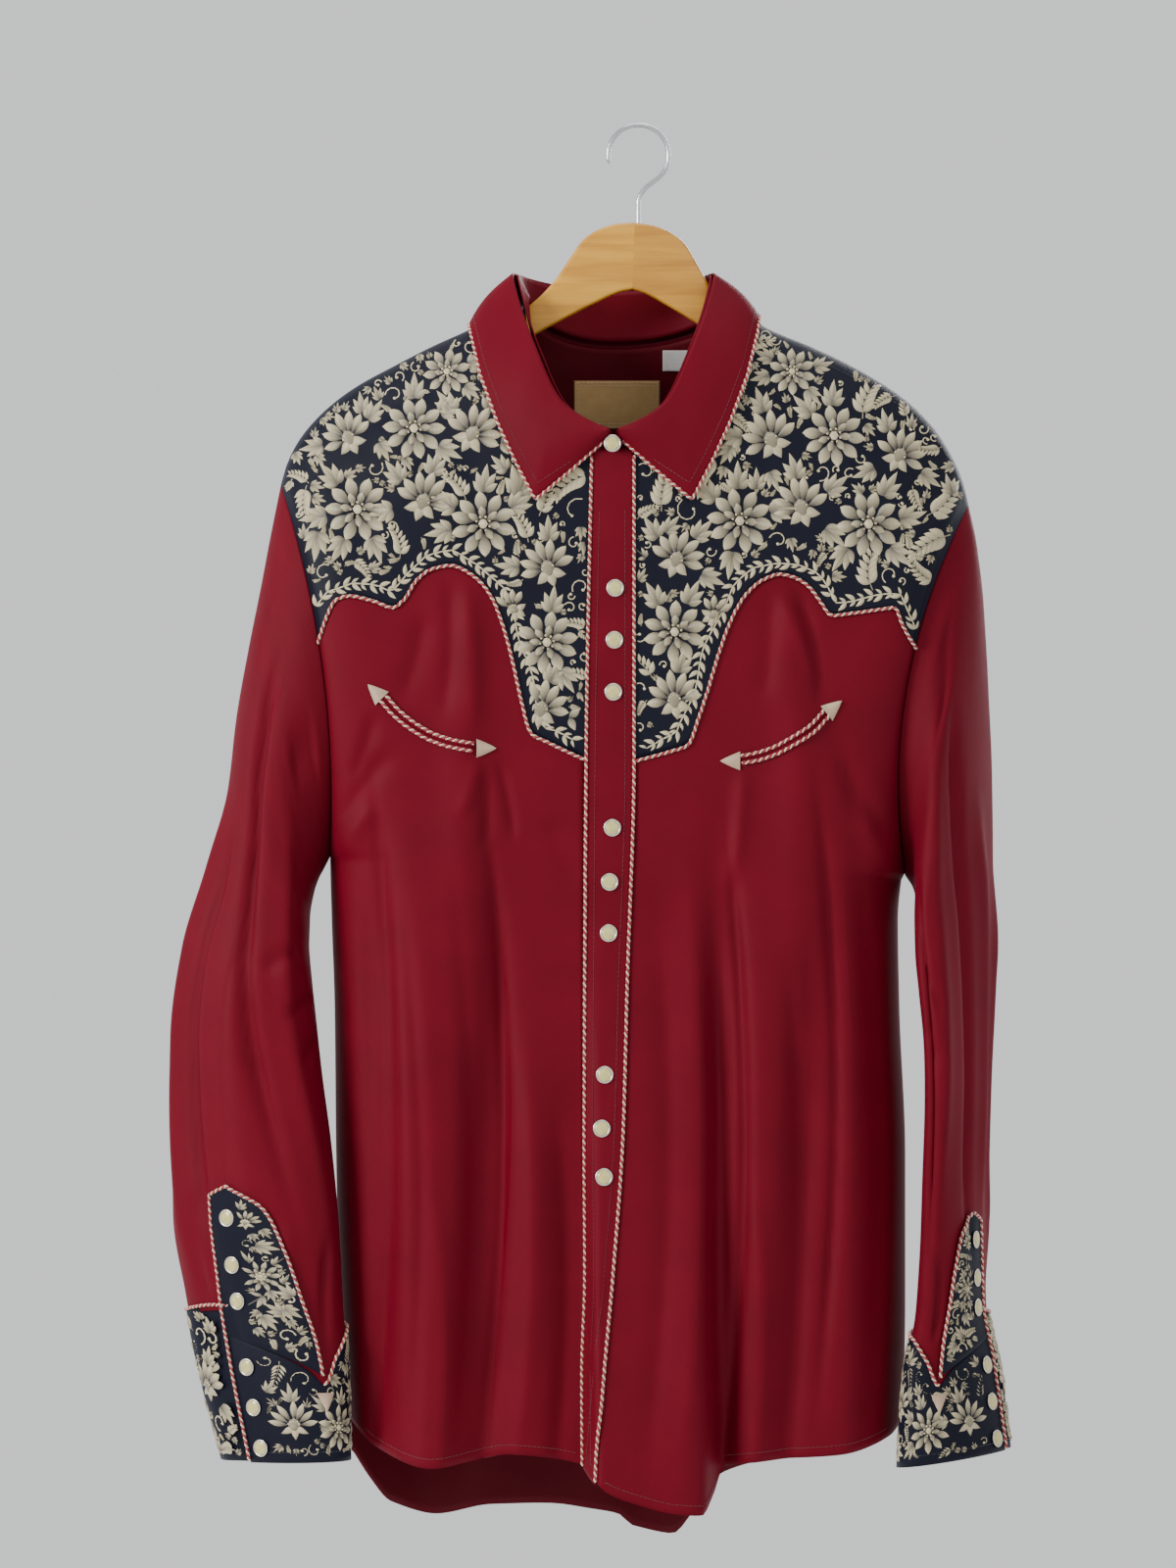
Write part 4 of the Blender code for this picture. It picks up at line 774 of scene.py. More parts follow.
def gauntletPlan(u, v):
    angleRight = mix(133.0, cuff["gauntletTop"], v)
    ringRight = along(cuff["gauntletEdge"], angleRight)
    leftRing = mix(float(cuffTop(np.array(cuff["opening"]))) + 0.04, cuff["gauntletRing"] + 0.12, v)
    angle = mix(cuff["opening"], angleRight, u)
    return angle, mix(leftRing, np.minimum(ringRight, cuffTop(angleRight) + 0.04), u)


def makeGauntlet(side):
    def place(u, v):
        angle, ring = gauntletPlan(u if side == "left" else 1 - u, v)
        out = 2.0 + 0.5 * np.sin(np.pi * u) * np.sin(np.pi * v)
        return sleevePoint(side, ring, turned(side, angle), out)[0], (angle * 0.8, ring * 50)

    return clothPanel(f"gauntlet_{side}_cloth", 26, 44, place, navyTwill)


# The collar goes round by degrees from the back of the neck.


def neckSeam(angle, way):
    turn = np.radians(angle)
    half = np.where(way < 0, form["neckLeft"], form["neckRight"]) - 2.5
    x = form["neckX"] + way * half * np.sin(turn)
    cut = np.where(angle <= 90, form["neckBack"], form["neckFront"])
    z = form["neckZ"] - cut * np.abs(np.cos(turn))
    level = np.minimum(z, ridgeHeight(x) - 1.5)
    front, back = halfDepth(x, level, True) - 1.0, halfDepth(x, level, False) - 1.0
    return np.stack([x, np.where(angle > 90, -front, back), z + collar["standLift"]], -1)


def foldPoint(angle, way):
    half, y, z = (along(collar["fold"], angle, c) for c in (1, 2, 3))
    return np.stack([form["neckX"] + way * half, y, z], -1)


def edgePoint(angle, way):
    table = np.array(collar["edge"], float)
    smooth = angle < 97
    half = np.where(smooth, along(collar["edge"], angle, 1), np.interp(angle, table[:, 0], table[:, 1]))
    z = np.where(smooth, along(collar["edge"], angle, 2), np.interp(angle, table[:, 0], table[:, 2]))
    x = form["neckX"] + way * half
    onTop = 1 - np.minimum(np.abs(angle - 85) / 12, 1.0)
    top = ridgeHeight(x) + collar["lift"]
    z = np.maximum(z, mix(z, top, onTop))
    level = np.minimum(z, ridgeHeight(x) - 1)
    lift = np.full(x.shape, collar["lift"])
    onFront, onBack = (bodyPoint(x, level, front, lift)[0] for front in (True, False))
    laid = np.where((angle > 85)[..., None], onFront, onBack)
    over = np.stack([x, np.zeros(x.shape), top], -1)
    return mix(laid, over, (onTop**2)[..., None])


def collarPoint(angle, way, v):
    fold, edge = foldPoint(angle, way), edgePoint(angle, way)
    away = unit(np.stack([fold[..., 0] - form["neckX"], fold[..., 1] + 5, np.full(angle.shape, 20.0)], -1))
    swell = collar["bulge"] * np.sin(np.pi * np.minimum(v * 0.9 + 0.05, 1)) + 2.4 * v
    point = mix(edge, fold, v[..., None]) + away * swell[..., None]
    below = point[..., 2] < ridgeHeight(point[..., 0]) - 12
    front = angle > 85
    clearFront = -(halfDepth(point[..., 0], point[..., 2], True) + collar["lift"])
    clearBack = halfDepth(point[..., 0], point[..., 2], False) + collar["lift"]
    y = point[..., 1]
    y = np.where(below & front, np.minimum(y, clearFront), y)
    y = np.where(below & ~front, np.maximum(y, clearBack), y)
    return np.stack([point[..., 0], y, point[..., 2]], -1)


def collarAngle(u):  # columns end exactly on the collar's points
    side = np.abs(2 * u - 1)
    return np.where(side < 0.8, side / 0.8 * 153, 153 + (side - 0.8) / 0.2 * 27), np.where(u > 0.5, -1.0, 1.0)


def makeCollar():
    def stand(u, v):
        angle, way = collarAngle(u)
        share = (0.03 + 0.93 * v)[..., None]
        return mix(neckSeam(angle, way), foldPoint(angle, way), share), (u * 460, v * 34)

    def leaf(u, v):
        angle, way = collarAngle(u)
        return collarPoint(angle, way, v), (u * 520, v * 70)

    made = [clothPanel("collar_stand_cloth", 120, 10, stand, redTwill)]
    made.append(clothPanel("collar_leaf_cloth", 160, 24, leaf, redTwill, wall=1.4))
    return made


# Cords: two strands twisted round each other, laid along a line on the form.


def evenly(points, facings, gap):
    run = np.concatenate([[0], np.cumsum(np.linalg.norm(np.diff(points, axis=0), axis=1))])
    at = np.linspace(0, run[-1], max(int(run[-1] / gap), 4) + 1)
    spread = np.stack([np.interp(at, run, points[:, k]) for k in range(3)], -1)
    faced = np.stack([np.interp(at, run, facings[:, k]) for k in range(3)], -1)
    return at, spread, unit(faced)


def tubeAlong(lines, radius, name, sides=1, tips=None):
    curve = bpy.data.curves.new(name, "CURVE")
    curve.dimensions = "3D"
    curve.bevel_depth = radius * toMetres
    curve.bevel_resolution = sides
    curve.use_fill_caps = True
    for points in lines:
        spline = curve.splines.new("POLY")
        spline.points.add(len(points) - 1)
        spots = np.concatenate([points * toMetres, np.ones((len(points), 1))], axis=1)
        spline.points.foreach_set("co", spots.ravel())
        if tips is not None:
            spline.points.foreach_set("radius", tips(len(points)))
    tube = bpy.data.objects.new(name, curve)
    bpy.context.scene.collection.objects.link(tube)
    deselect()
    tube.select_set(True)
    bpy.context.view_layer.objects.active = tube
    bpy.ops.object.convert(target="MESH")
    tube = bpy.context.object
    bpy.ops.object.shade_smooth()
    return tube


def joined(name, *parts):
    deselect()
    for part in parts:
        part.select_set(True)
    bpy.context.view_layer.objects.active = parts[0]
    if len(parts) > 1:
        bpy.ops.object.join()
    whole = bpy.context.object
    whole.name = name
    return whole


twist = {"pitch": 4.6, "apart": 0.62, "strand": 0.72, "gap": 0.68}


def twistedCord(name, routes, *cadNodes):  # each route is points and the ways they face
    made = []
    for turnStart, finish in ((0.0, creamStrand), (math.pi, redStrand)):
        lines = []
        for points, facings in routes:
            at, spread, faced = evenly(points, facings, twist["gap"])
            ahead = unit(np.gradient(spread, axis=0))
            aside = unit(np.cross(ahead, faced))
            over = np.cross(aside, ahead)
            turn = (turnStart + at / twist["pitch"] * 2 * math.pi)[:, None]
            lines.append(spread + (aside * np.cos(turn) + over * np.sin(turn)) * twist["apart"])
        strand = tubeAlong(lines, twist["strand"], name, 0)
        strand.data.materials.clear()
        strand.data.materials.append(finish)
        made.append(strand)
    cord = joined(name, *made)
    claim(cord, "cord", *cadNodes)
    return cord


def planRoute(rows, front=True, out=0.9, parts=12):
    plan = np.array(rows, float)
    k = np.linspace(0, len(plan) - 1, (len(plan) - 1) * parts + 1)
    numbered = [(i, *row) for i, row in enumerate(rows)]
    return bodyPoint(along(numbered, k, 1), along(numbered, k, 2), front, np.full(k.shape, out))


def sleeveRoute(side, angles, rings, out):
    return sleevePoint(side, rings, turned(side, angles), np.full(np.shape(angles), out))


def makeBodyCords():
    for side, seam in (("left", form["yokeLeft"]), ("right", form["yokeRight"])):
        twistedCord(f"yoke_piping_{side}", [planRoute(seam, out=1.0)], f"yoke_cord_{side}")
        low = float(along(form["frontHem"], placketEdge(-917, side))) + 1
        z = np.linspace(low, -226, 500)
        route = bodyPoint(placketEdge(z, side), z, True, np.full(z.shape, 1.1))
        twistedCord(f"placket_piping_{side}", [route], f"placket_cord_{side}")
    share = np.linspace(0.005, 0.995, 420)
    z = backSeam(share)
    route = bodyPoint(backX(share, z), z, False, np.full(z.shape, 1.0))
    twistedCord("back_yoke_piping", [route], "back_yoke_cord")


def makeCuffCords(side):
    steps = np.linspace(0, 1, 60)
    angles, rings = (np.array(part) for part in zip(*[gauntletPlan(1.0, k) for k in steps]))
    across = [gauntletPlan(1 - k, 1.0) for k in np.linspace(0, 1, 24)[1:]]
    down = [gauntletPlan(0.0, 1 - k) for k in np.linspace(0, 1, 50)[1:]]
    more = np.array(across + down)
    low = np.linspace(float(cuffTop(np.array(cuff["opening"]))), 12.98, 40)[1:]
    angles = np.concatenate([angles, more[:, 0], np.full(low.shape, cuff["opening"])])
    rings = np.concatenate([rings, more[:, 1], low])
    twistedCord(f"gauntlet_piping_{side}", [sleeveRoute(side, angles, rings, 2.3)], f"gauntlet_cord_{side}")
    angles = np.linspace(cuff["point"] - 1, cuff["opening"] + 366, 300)
    twistedCord(
        f"cuff_piping_{side}", [sleeveRoute(side, angles, cuffTop(angles), 1.3)], f"cuff_cord_{side}"
    )


def makeCollarCord():
    u = np.concatenate([
        np.linspace(0.006, 0.1, 50), np.linspace(0.1, 0.9, 500)[1:-1], np.linspace(0.9, 0.994, 50),
    ])
    angle, way = collarAngle(u)
    edge, inside = collarPoint(angle, way, np.zeros(u.shape)), collarPoint(angle, way, np.full(u.shape, 0.2))
    ahead = unit(np.gradient(edge, axis=0))
    away = edge - inside
    away = unit(away - ahead * (away * ahead).sum(-1, keepdims=True))
    facing = unit(np.cross(ahead, away))
    twistedCord("collar_piping", [(edge + away * 0.9 + facing * 0.2, facing)], "collar_cord")


# Embroidery: satin-stitched petals, each a small domed grid, laid on the form.


def petalTemplate(across, ahead):
    deselect()
    bpy.ops.mesh.primitive_grid_add(x_subdivisions=across, y_subdivisions=ahead, size=1)
    petal = bpy.context.object
    spots = np.array([v.co for v in petal.data.vertices]) + 0.5
    faces = [tuple(f.vertices) for f in petal.data.polygons]
    bpy.data.objects.remove(petal)
    return spots[:, :2], faces


largePetal, smallPetal = petalTemplate(4, 6), petalTemplate(2, 4)
petalShapes = {
    "petal": lambda t: np.sin(np.pi * np.clip(0.06 + 0.94 * t, 0, 1) ** 1.25) ** 0.75,
    "leaf": lambda t: np.sin(np.pi * np.clip(t, 0, 1) ** 0.8) ** 0.9,
    "stem": lambda t: np.full(np.shape(t), 1.0) * (1 - 0.35 * t),
    "seed": lambda t: np.sqrt(np.clip(1 - (2 * t - 1) ** 2, 0, 1)),
    "arrow": lambda t: (1 - t) ** 0.85 + 0.02,
}


def addPetal(work, shape, x, z, turn, length, width, rise=0.8, bend=0.0, tones=(0.35, 1.0), lift=0.0):
    petalSpots, petalFaces = largePetal if length > 8 and shape != "stem" else smallPetal
    across, ahead = petalSpots[:, 0] * 2 - 1, petalSpots[:, 1]
    half = width / 2 * petalShapes[shape](ahead)
    heading = math.radians(turn) + bend * ahead
    middle = math.radians(turn) + bend * ahead / 2
    px = x + length * ahead * np.cos(middle) - half * across * np.sin(heading)
    pz = z + length * ahead * np.sin(middle) + half * across * np.cos(heading)
    dome = np.sqrt(np.clip(1 - across * across, 0, 1))
    swell = 0.45 + 0.55 * np.sin(np.pi * np.clip(ahead, 0.05, 0.95))
    height = lift - embroidery["sunk"] + (rise + embroidery["sunk"]) * dome * swell
    # Tone runs from root to tip and rises on the dome's crest. It is partly the thread's own colour, partly
    # painted shade at the roots where petals meet, and painted highlight on the crest.
    tone = tones[0] + (tones[1] - tones[0]) * ahead + 0.12 * dome - 0.06
    tipX = x + length * math.cos(math.radians(turn) + bend / 2)
    tipZ = z + length * math.sin(math.radians(turn) + bend / 2)
    limit = work["limit"]
    if limit and not (
        inside(limit, tipX, tipZ, embroidery["tipMargin"]) and inside(limit, x, z, embroidery["rootMargin"])
    ):
        return
    start = work["count"]
    work["spots"].append(np.stack([px, pz, height], -1))
    work["chart"].append(np.stack([ahead * length, across * half], -1))
    work["tone"].append(tone)
    work["faces"].extend(tuple(k + start for k in face) for face in petalFaces)
    work["count"] += len(petalSpots)


def stepFrom(x, z, degrees, reach):
    heading = math.radians(degrees)
    return x + reach * math.cos(heading), z + reach * math.sin(heading)


def newWork(limit=None):
    return {"spots": [], "chart": [], "tone": [], "faces": [], "count": 0, "limit": limit}


def addStem(work, points, width=1.1, tone=0.7):
    for (x0, z0), (x1, z1) in zip(points, points[1:]):
        length = math.hypot(x1 - x0, z1 - z0) * 1.06
        turn = math.degrees(math.atan2(z1 - z0, x1 - x0))
        addPetal(work, "stem", x0, z0, turn, length, width, 0.45, tones=(tone, tone))


def addRose(work, draw, x, z, size, turn):  # round flower: two rings of petals and a seeded cup
    for k in range(10):
        a = turn + k * 36 + draw.uniform(-4, 4)
        root = size * 0.32
        addPetal(
            work, "petal", *stepFrom(x, z, a, root), a,
            size * 0.70, size * 0.41, 1.1, draw.uniform(-0.15, 0.15), (-0.15, 0.95),
        )
    for k in range(7):
        a = turn + 18 + k * 51.4 + draw.uniform(-5, 5)
        root = size * 0.14
        addPetal(
            work, "petal", *stepFrom(x, z, a, root), a,
            size * 0.42, size * 0.24, 1.0, draw.uniform(-0.2, 0.2), (-0.1, 0.8), 0.5,
        )
    addPetal(work, "seed", x - size * 0.15, z, 0, size * 0.30, size * 0.30, 0.9, tones=(0.9, 0.9), lift=0.7)
    for k in range(8):
        a = math.radians(turn + k * 45)
        px, pz = x + size * 0.22 * math.cos(a), z + size * 0.22 * math.sin(a)
        addPetal(work, "seed", px - 0.9, pz, 0, 1.8, 1.8, 0.9, tones=(1.0, 1.0), lift=0.7)


def addCup(work, draw, x, z, size, turn):  # side view flower: a fan of petals over a seeded cup
    for k in range(7):
        a = turn + (k - 3) * 27 + draw.uniform(-3, 3)
        addPetal(
            work, "petal", *stepFrom(x, z, a, size * 0.24),
            a, size * (0.86 - 0.05 * abs(k - 3)), size * 0.35, 1.1, draw.uniform(-0.2, 0.2), (-0.15, 1.0),
        )
    for k in range(3):
        a = turn + 180 + (k - 1) * 42
        addPetal(work, "leaf", x, z, a, size * 0.62, size * 0.34, 0.8, (k - 1) * 0.5, (0.85, 0.5), 0.2)
    addPetal(
        work, "seed", *stepFrom(x, z, turn, -size * 0.26),
        turn, size * 0.6, size * 0.46, 1.0, tones=(0.2, 0.4), lift=0.5,
    )
    for k in range(5):
        a = math.radians(turn + (k - 2) * 34)
        px, pz = x + size * 0.2 * math.cos(a), z + size * 0.2 * math.sin(a)
        addPetal(work, "seed", px - 0.8, pz, 0, 1.6, 1.6, 0.8, tones=(1.0, 1.0), lift=0.9)


def addLeaf(work, draw, x, z, size, turn):  # broad lobed leaf with a raised middle vein
    bend = draw.uniform(-0.5, 0.5)
    for k, off in enumerate((-52, -26, 0, 26, 52)):
        reach = (0.55, 0.78, 1.0, 0.78, 0.55)[k] * size
        addPetal(work, "leaf", x, z, turn + off, reach, size * 0.33, 0.8, bend * 0.5, (0.0, 0.9))
    addPetal(work, "stem", x, z, turn, size * 0.85, 1.0, 0.5, bend * 0.5, (0.1, 0.1), 0.5)


def addSprig(work, draw, x, z, size, turn):  # fern: a bent stem with leaflets on both sides
    bend = draw.uniform(0.4, 1.0) * draw.choice((-1, 1))
    steps = 6
    last = (x, z)
    heading = math.radians(turn)
    for k in range(steps):
        heading += bend / steps
        here = (last[0] + size / steps * math.cos(heading), last[1] + size / steps * math.sin(heading))
        addStem(work, [last, here], 0.9, 0.6)
        leaflet = size * (0.42 - 0.04 * k)
        for way in (-1, 1):
            a = math.degrees(heading) + way * 48
            addPetal(work, "leaf", *here, a, leaflet, leaflet * 0.52, 0.55, -way * 0.3, (0.5, 0.95))
        last = here
    addPetal(work, "leaf", *last, math.degrees(heading), size * 0.26, size * 0.12, 0.6, 0, (0.6, 1.0))


def addCurl(work, draw, x, z, size, turn):
    way = draw.choice((-1, 1))
    points = []
    for k in range(9):
        t = k / 8
        radius = size * 0.42 * (1 - 0.62 * t)
        a = math.radians(turn) + way * (t * 4.6)
        points.append((x + radius * math.cos(a), z + radius * math.sin(a)))
    addStem(work, points, 1.3, 0.9)
    addPetal(work, "seed", points[-1][0] - 1.1, points[-1][1], 0, 2.4, 2.4, 0.8, tones=(1.0, 1.0))


def inside(outline, x, z, margin):
    hits, near = False, 1e9
    for (x0, z0), (x1, z1) in zip(outline, outline[1:] + outline[:1]):
        if (z0 > z) != (z1 > z) and x < (x1 - x0) * (z - z0) / (z1 - z0) + x0:
            hits = not hits
        size = max((x1 - x0) ** 2 + (z1 - z0) ** 2, 1e-6)
        t = min(max(((x - x0) * (x1 - x0) + (z - z0) * (z1 - z0)) / size, 0), 1)
        near = min(near, math.hypot(x - x0 - t * (x1 - x0), z - z0 - t * (z1 - z0)))
    return hits and near > margin


def vineAlong(work, line, gap=6.2, size=8.2):  # stem with leaflets to both sides, in step
    points = np.array(line, float)
    run = np.concatenate([[0], np.cumsum(np.linalg.norm(np.diff(points, axis=0), axis=1))])
    at = np.arange(3.0, run[-1] - 2.0, gap)
    px, pz = np.interp(at, run, points[:, 0]), np.interp(at, run, points[:, 1])
    wave = 1.5 * np.sin(at / 9.0)
    heading = np.arctan2(np.gradient(pz), np.gradient(px))
    px, pz = px - wave * np.sin(heading), pz + wave * np.cos(heading)
    addStem(work, list(zip(px, pz)), 1.7, 0.9)
    for k in range(len(at)):
        way = 1 if k % 2 else -1
        a = math.degrees(heading[k])
        for side in (way, -way):
            length = size * (1.0 if side == way else 0.72)
            addPetal(
                work, "leaf", px[k], pz[k], a + side * 52, length, length * 0.42, 0.6, -side * 0.5, (0.6, 1.0)
            )


largeKinds = (addSprig, addSprig, addLeaf, addCurl)
smallKinds = (addCurl, addSprig, addLeaf, addLeaf)


def fillWith(work, draw, outline, flowers, gap, margin, sizes):
    taken = []
    for kind, x, z, size, turn in flowers:
        (addRose if kind == "rose" else addCup)(work, draw, x, z, size, turn)
        taken.append((x, z, size * 1.02))
        leaves = 6 if kind == "rose" else 5
        for k in range(leaves):
            a = turn + 60 + k * 360 / leaves + draw.uniform(-15, 15)
            px, pz = stepFrom(x, z, a, size * 0.98)
            ex, ez = stepFrom(px, pz, a, size * 0.8)
            if not inside(outline, ex, ez, margin * 0.6):
                continue
            if any(math.hypot(ex - tx, ez - tz) < tr + size * 0.12 for tx, tz, tr in taken[:-1]):
                continue
            addLeaf(work, draw, px, pz, size * 0.88, a)
            taken.append(((px + ex) / 2, (pz + ez) / 2, size * 0.36))
    xs, zs = [p[0] for p in outline], [p[1] for p in outline]
    for size, tries in sizes:
        for _ in range(tries):
            x, z = draw.uniform(min(xs), max(xs)), draw.uniform(min(zs), max(zs))
            if not inside(outline, x, z, margin + size * 0.26):
                continue
            if any(math.hypot(x - tx, z - tz) < tr * 0.94 + size * 0.34 + gap for tx, tz, tr in taken):
                continue
            turn = draw.uniform(0, 360)
            kind = draw.choice(largeKinds if size > 12 else smallKinds)
            back = size * 0.5 if kind is not addCurl else 0
            kind(work, draw, *stepFrom(x, z, turn, -back), size, turn)
            taken.append((x, z, size * 0.42))


def turnFaces(panel):
    deselect()
    panel.select_set(True)
    bpy.context.view_layer.objects.active = panel
    bpy.ops.object.mode_set(mode="EDIT")
    bpy.ops.mesh.select_all(action="SELECT")
    bpy.ops.mesh.flip_normals()
    bpy.ops.object.mode_set(mode="OBJECT")


def layWork(name, work, place, finish, *cadNodes):
    spots = np.concatenate(work["spots"])
    points = place(spots[:, 0], spots[:, 1], spots[:, 2])
    mesh = bpy.data.meshes.new(name)
    mesh.from_pydata([tuple(p) for p in points * toMetres], [], work["faces"])
    panel = bpy.data.objects.new(name, mesh)
    bpy.context.scene.collection.objects.link(panel)
    corner = np.empty(len(mesh.loops), int)
    mesh.loops.foreach_get("vertex_index", corner)
    uv = mesh.uv_layers.new(name="UVMap")
    uv.data.foreach_set("uv", (np.concatenate(work["chart"])[corner] / 100.0).ravel())
    # Per-point tone for the thread finish, carrying painted shade and painted highlight.
    tone = mesh.attributes.new("tone", "FLOAT", "POINT")
    tone.data.foreach_set("value", np.clip(np.concatenate(work["tone"]), 0, 1))
    mesh.materials.append(finish)
    turnFaces(panel)
    bpy.ops.object.shade_smooth()
    claim(panel, "thread", *cadNodes)
    return panel


embroidery = {
    "gap": 0.0, "margin": 3.0, "border": 14.5, "thick": 0.15, "sunk": 0.35, "vine": 9.5, "edge": 1.0,
    "tipMargin": 1.6, "rootMargin": 1.2,
    "fill": ((28, 500), (21, 900), (15, 1600), (10, 2600), (7, 3600), (5, 3600)),
    # kind, x, z, radius, turn. The right front yoke has its own table, close to the left one turned over.
    "left": (
        ("cup", -66, -398, 20, 80), ("rose", -62, -352, 21, 10), ("cup", -61, -303, 20, 110),
        ("rose", -105, -272, 22, 24), ("cup", -146, -258, 21, 70), ("rose", -190, -262, 22, 0),
        ("cup", -196, -214, 19, 120), ("rose", -152, -207, 21, 33), ("cup", -113, -212, 21, 60),
        ("rose", -130, -168, 16, 12), ("cup", -84, -330, 14, 150),
    ),
    "right": (
        ("cup", 24, -392, 20, 100), ("rose", 24, -345, 21, 14), ("cup", 25, -297, 20, 70),
        ("rose", 68, -270, 22, 30), ("cup", 110, -262, 21, 110), ("rose", 155, -272, 22, 5),
        ("cup", 176, -226, 19, 60), ("rose", 132, -212, 21, 28), ("cup", 90, -216, 21, 120),
        ("rose", 104, -168, 16, 20), ("cup", 50, -334, 14, 30),
    ),
    "back": (
        ("rose", -17, -300, 23, 0), ("cup", -68, -288, 21, 60), ("rose", -112, -262, 22, 20),
        ("cup", -158, -286, 21, 120), ("rose", -190, -330, 19, 8), ("cup", -186, -236, 20, 100),
        ("rose", -146, -208, 21, 30), ("cup", -100, -196, 20, 70), ("rose", -56, -226, 21, 12),
        ("cup", -17, -196, 21, 90), ("rose", 26, -226, 21, 40), ("cup", 70, -198, 20, 110),
        ("rose", 116, -210, 21, 16), ("cup", 164, -232, 20, 80), ("rose", 80, -262, 22, 25),
        ("cup", 124, -286, 21, 60), ("rose", 166, -326, 19, 4), ("cup", 36, -288, 21, 120),
    ),
}


def yokeOutline(side, border):
    seam = [(x, z) for _, x, z in seamLine(side, border)]
    c = np.linspace(0, len(seam) - 1, 40)
    topX, topZ = yokeTop(side, c)
    top = list(zip(topX, topZ))[::-1]
    edge = []
    for z in np.linspace(seam[0][1], form["ridge"][0 if side == "left" else -1][1], 10)[1:-1]:
        edge.append((float(armhole(side, z)[0]), float(z)))
    return seam + top + edge[::-1]


def fillYoke(work, draw, outline, flowers):
    fillWith(
        work, draw, outline, embroidery[flowers], embroidery["gap"], embroidery["margin"], embroidery["fill"]
    )


def makeYokeWork(side):
    draw = random.Random(41 if side == "left" else 87)
    outline = yokeOutline(side, embroidery["border"])
    work = newWork(yokeOutline(side, embroidery["edge"]))
    fillYoke(work, draw, outline, side)
    seam = np.array(seamLine(side, embroidery["vine"]))[:, 1:]
    way = 1 if side == "left" else -1
    seam[0, 0] += 5 * way
    seam[-1, 0] -= 8 * way
    vineAlong(work, seam)

    def place(x, z, height):
        return bodyPoint(x, z, True, height + embroidery["thick"])[0]

    layWork(f"front_yoke_{side}_embroidery", work, place, creamThread)


def makeBackWork():
    draw = random.Random(19)
    share = np.linspace(0, 1, 60)
    topX, topZ = backYokeTop(np.linspace(0, 1, 60))
    outlines = []
    for border in (embroidery["border"], embroidery["edge"]):
        z = backSeam(share, border)
        outlines.append(list(zip(backX(share, z), z)) + list(zip(topX, topZ))[::-1])
    outline = outlines[0]
    work = newWork(outlines[1])
    fillYoke(work, draw, outline, "back")
    share = np.linspace(0.03, 0.97, 90)
    z = backSeam(share, embroidery["vine"])
    vineAlong(work, np.stack([backX(share, z), z], -1))

    def place(x, z, height):
        return bodyPoint(x, z, False, height + embroidery["thick"])[0]

    turnFaces(layWork("back_yoke_embroidery", work, place, creamThread))


# Around a cuff, x is degrees times this and z is the height above the cuff's end.
cuffScale = 0.7
cuffHeights = ((0, 13), (71, 12), (111, 11), (166, 10), (228, 9))


def makeCuffWork(side):
    draw = random.Random(5 if side == "left" else 6)
    work = newWork()
    heights = [(row[1], row[0]) for row in cuffHeights[::-1]]
    angles = np.linspace(cuff["opening"] + 18, cuff["opening"] + 356, 60)
    top = [(a * cuffScale, float(along(heights, cuffTop(np.array(a))))) for a in angles]
    outline = [(angles[0] * cuffScale, 2.0)] + top + [(angles[-1] * cuffScale, 2.0)]
    work["limit"] = outline
    flowers = [
        ("rose" if k % 2 else "cup", (cuff["opening"] + a) * cuffScale, h, 16, t)
        for k, (a, h, t) in enumerate(
            (
                (44, 26, 90), (88, 24, 20), (136, 40, 80), (184, 48, 10), (232, 44, 100), (280, 54, 30),
                (326, 50, 90),
            )
        )
    ]
    fillWith(work, draw, outline, flowers, 0.0, 3.5, ((16, 400), (11, 1200), (7.5, 1800), (5, 1800)))
    edge = []
    for v in np.linspace(1, 0, 12):
        angle, ring = gauntletPlan(1.0, v)
        edge.append((float(angle) * cuffScale, float(along(heights, ring))))
    left = [
        ((cuff["opening"] + 18) * cuffScale, float(along(heights, gauntletPlan(0.25, v)[1])))
        for v in (0.02, 0.5, 0.98)
    ]
    top = (left[-1][0], left[-1][1])
    outline = [left[0], left[1], top] + edge
    work["limit"] = outline
    gauntletFlowers = [
        ("cup", (cuff["opening"] + 27) * cuffScale, edge[0][1] - 26, 8, 90),
        ("rose", (cuff["opening"] + 33) * cuffScale, edge[0][1] - 62, 10, 0),
    ]
    before = len(work["spots"])
    fillWith(work, draw, outline, gauntletFlowers, 0.0, 2.6, ((12, 400), (7.5, 900), (5, 900)))
    for k in range(before, len(work["spots"])):
        work["spots"][k][:, 2] += 1.0  # the gauntlet stands over the sleeve's cloth

    def place(x, z, height):
        return sleevePoint(side, along(cuffHeights, z), turned(side, x / cuffScale), height + 1.25)[0]

    panel = layWork(f"cuff_{side}_embroidery", work, place, creamThread)
    if side == "left":
        return
    deselect()
    panel.select_set(True)
    bpy.context.view_layer.objects.active = panel
    bpy.ops.object.mode_set(mode="EDIT")
    bpy.ops.mesh.select_all(action="SELECT")
    bpy.ops.mesh.flip_normals()
    bpy.ops.object.mode_set(mode="OBJECT")


# Smile pockets: a welt between two cords, closed at each end by a satin arrowhead.
pockets = {
    "left": ((-172, -390), (-164, -399), (-153, -408), (-140, -415.5), (-125, -420.5), (-112, -422.8)),
    "right": ((126, -400), (116.5, -410), (104, -418.5), (92, -425), (80, -429), (69, -431.2)),
    "half": 2.6,
    # middle x, middle z, way of the tip in degrees
    "arrows": {
        "left_outer": (-177, -386, 135), "left_inner": (-104, -423.5, 0),
        "right_outer": (130.5, -396.5, 40), "right_inner": (62.5, -432, 180),
    },
    "arrowLength": 13.5, "arrowWidth": 12.5,
}


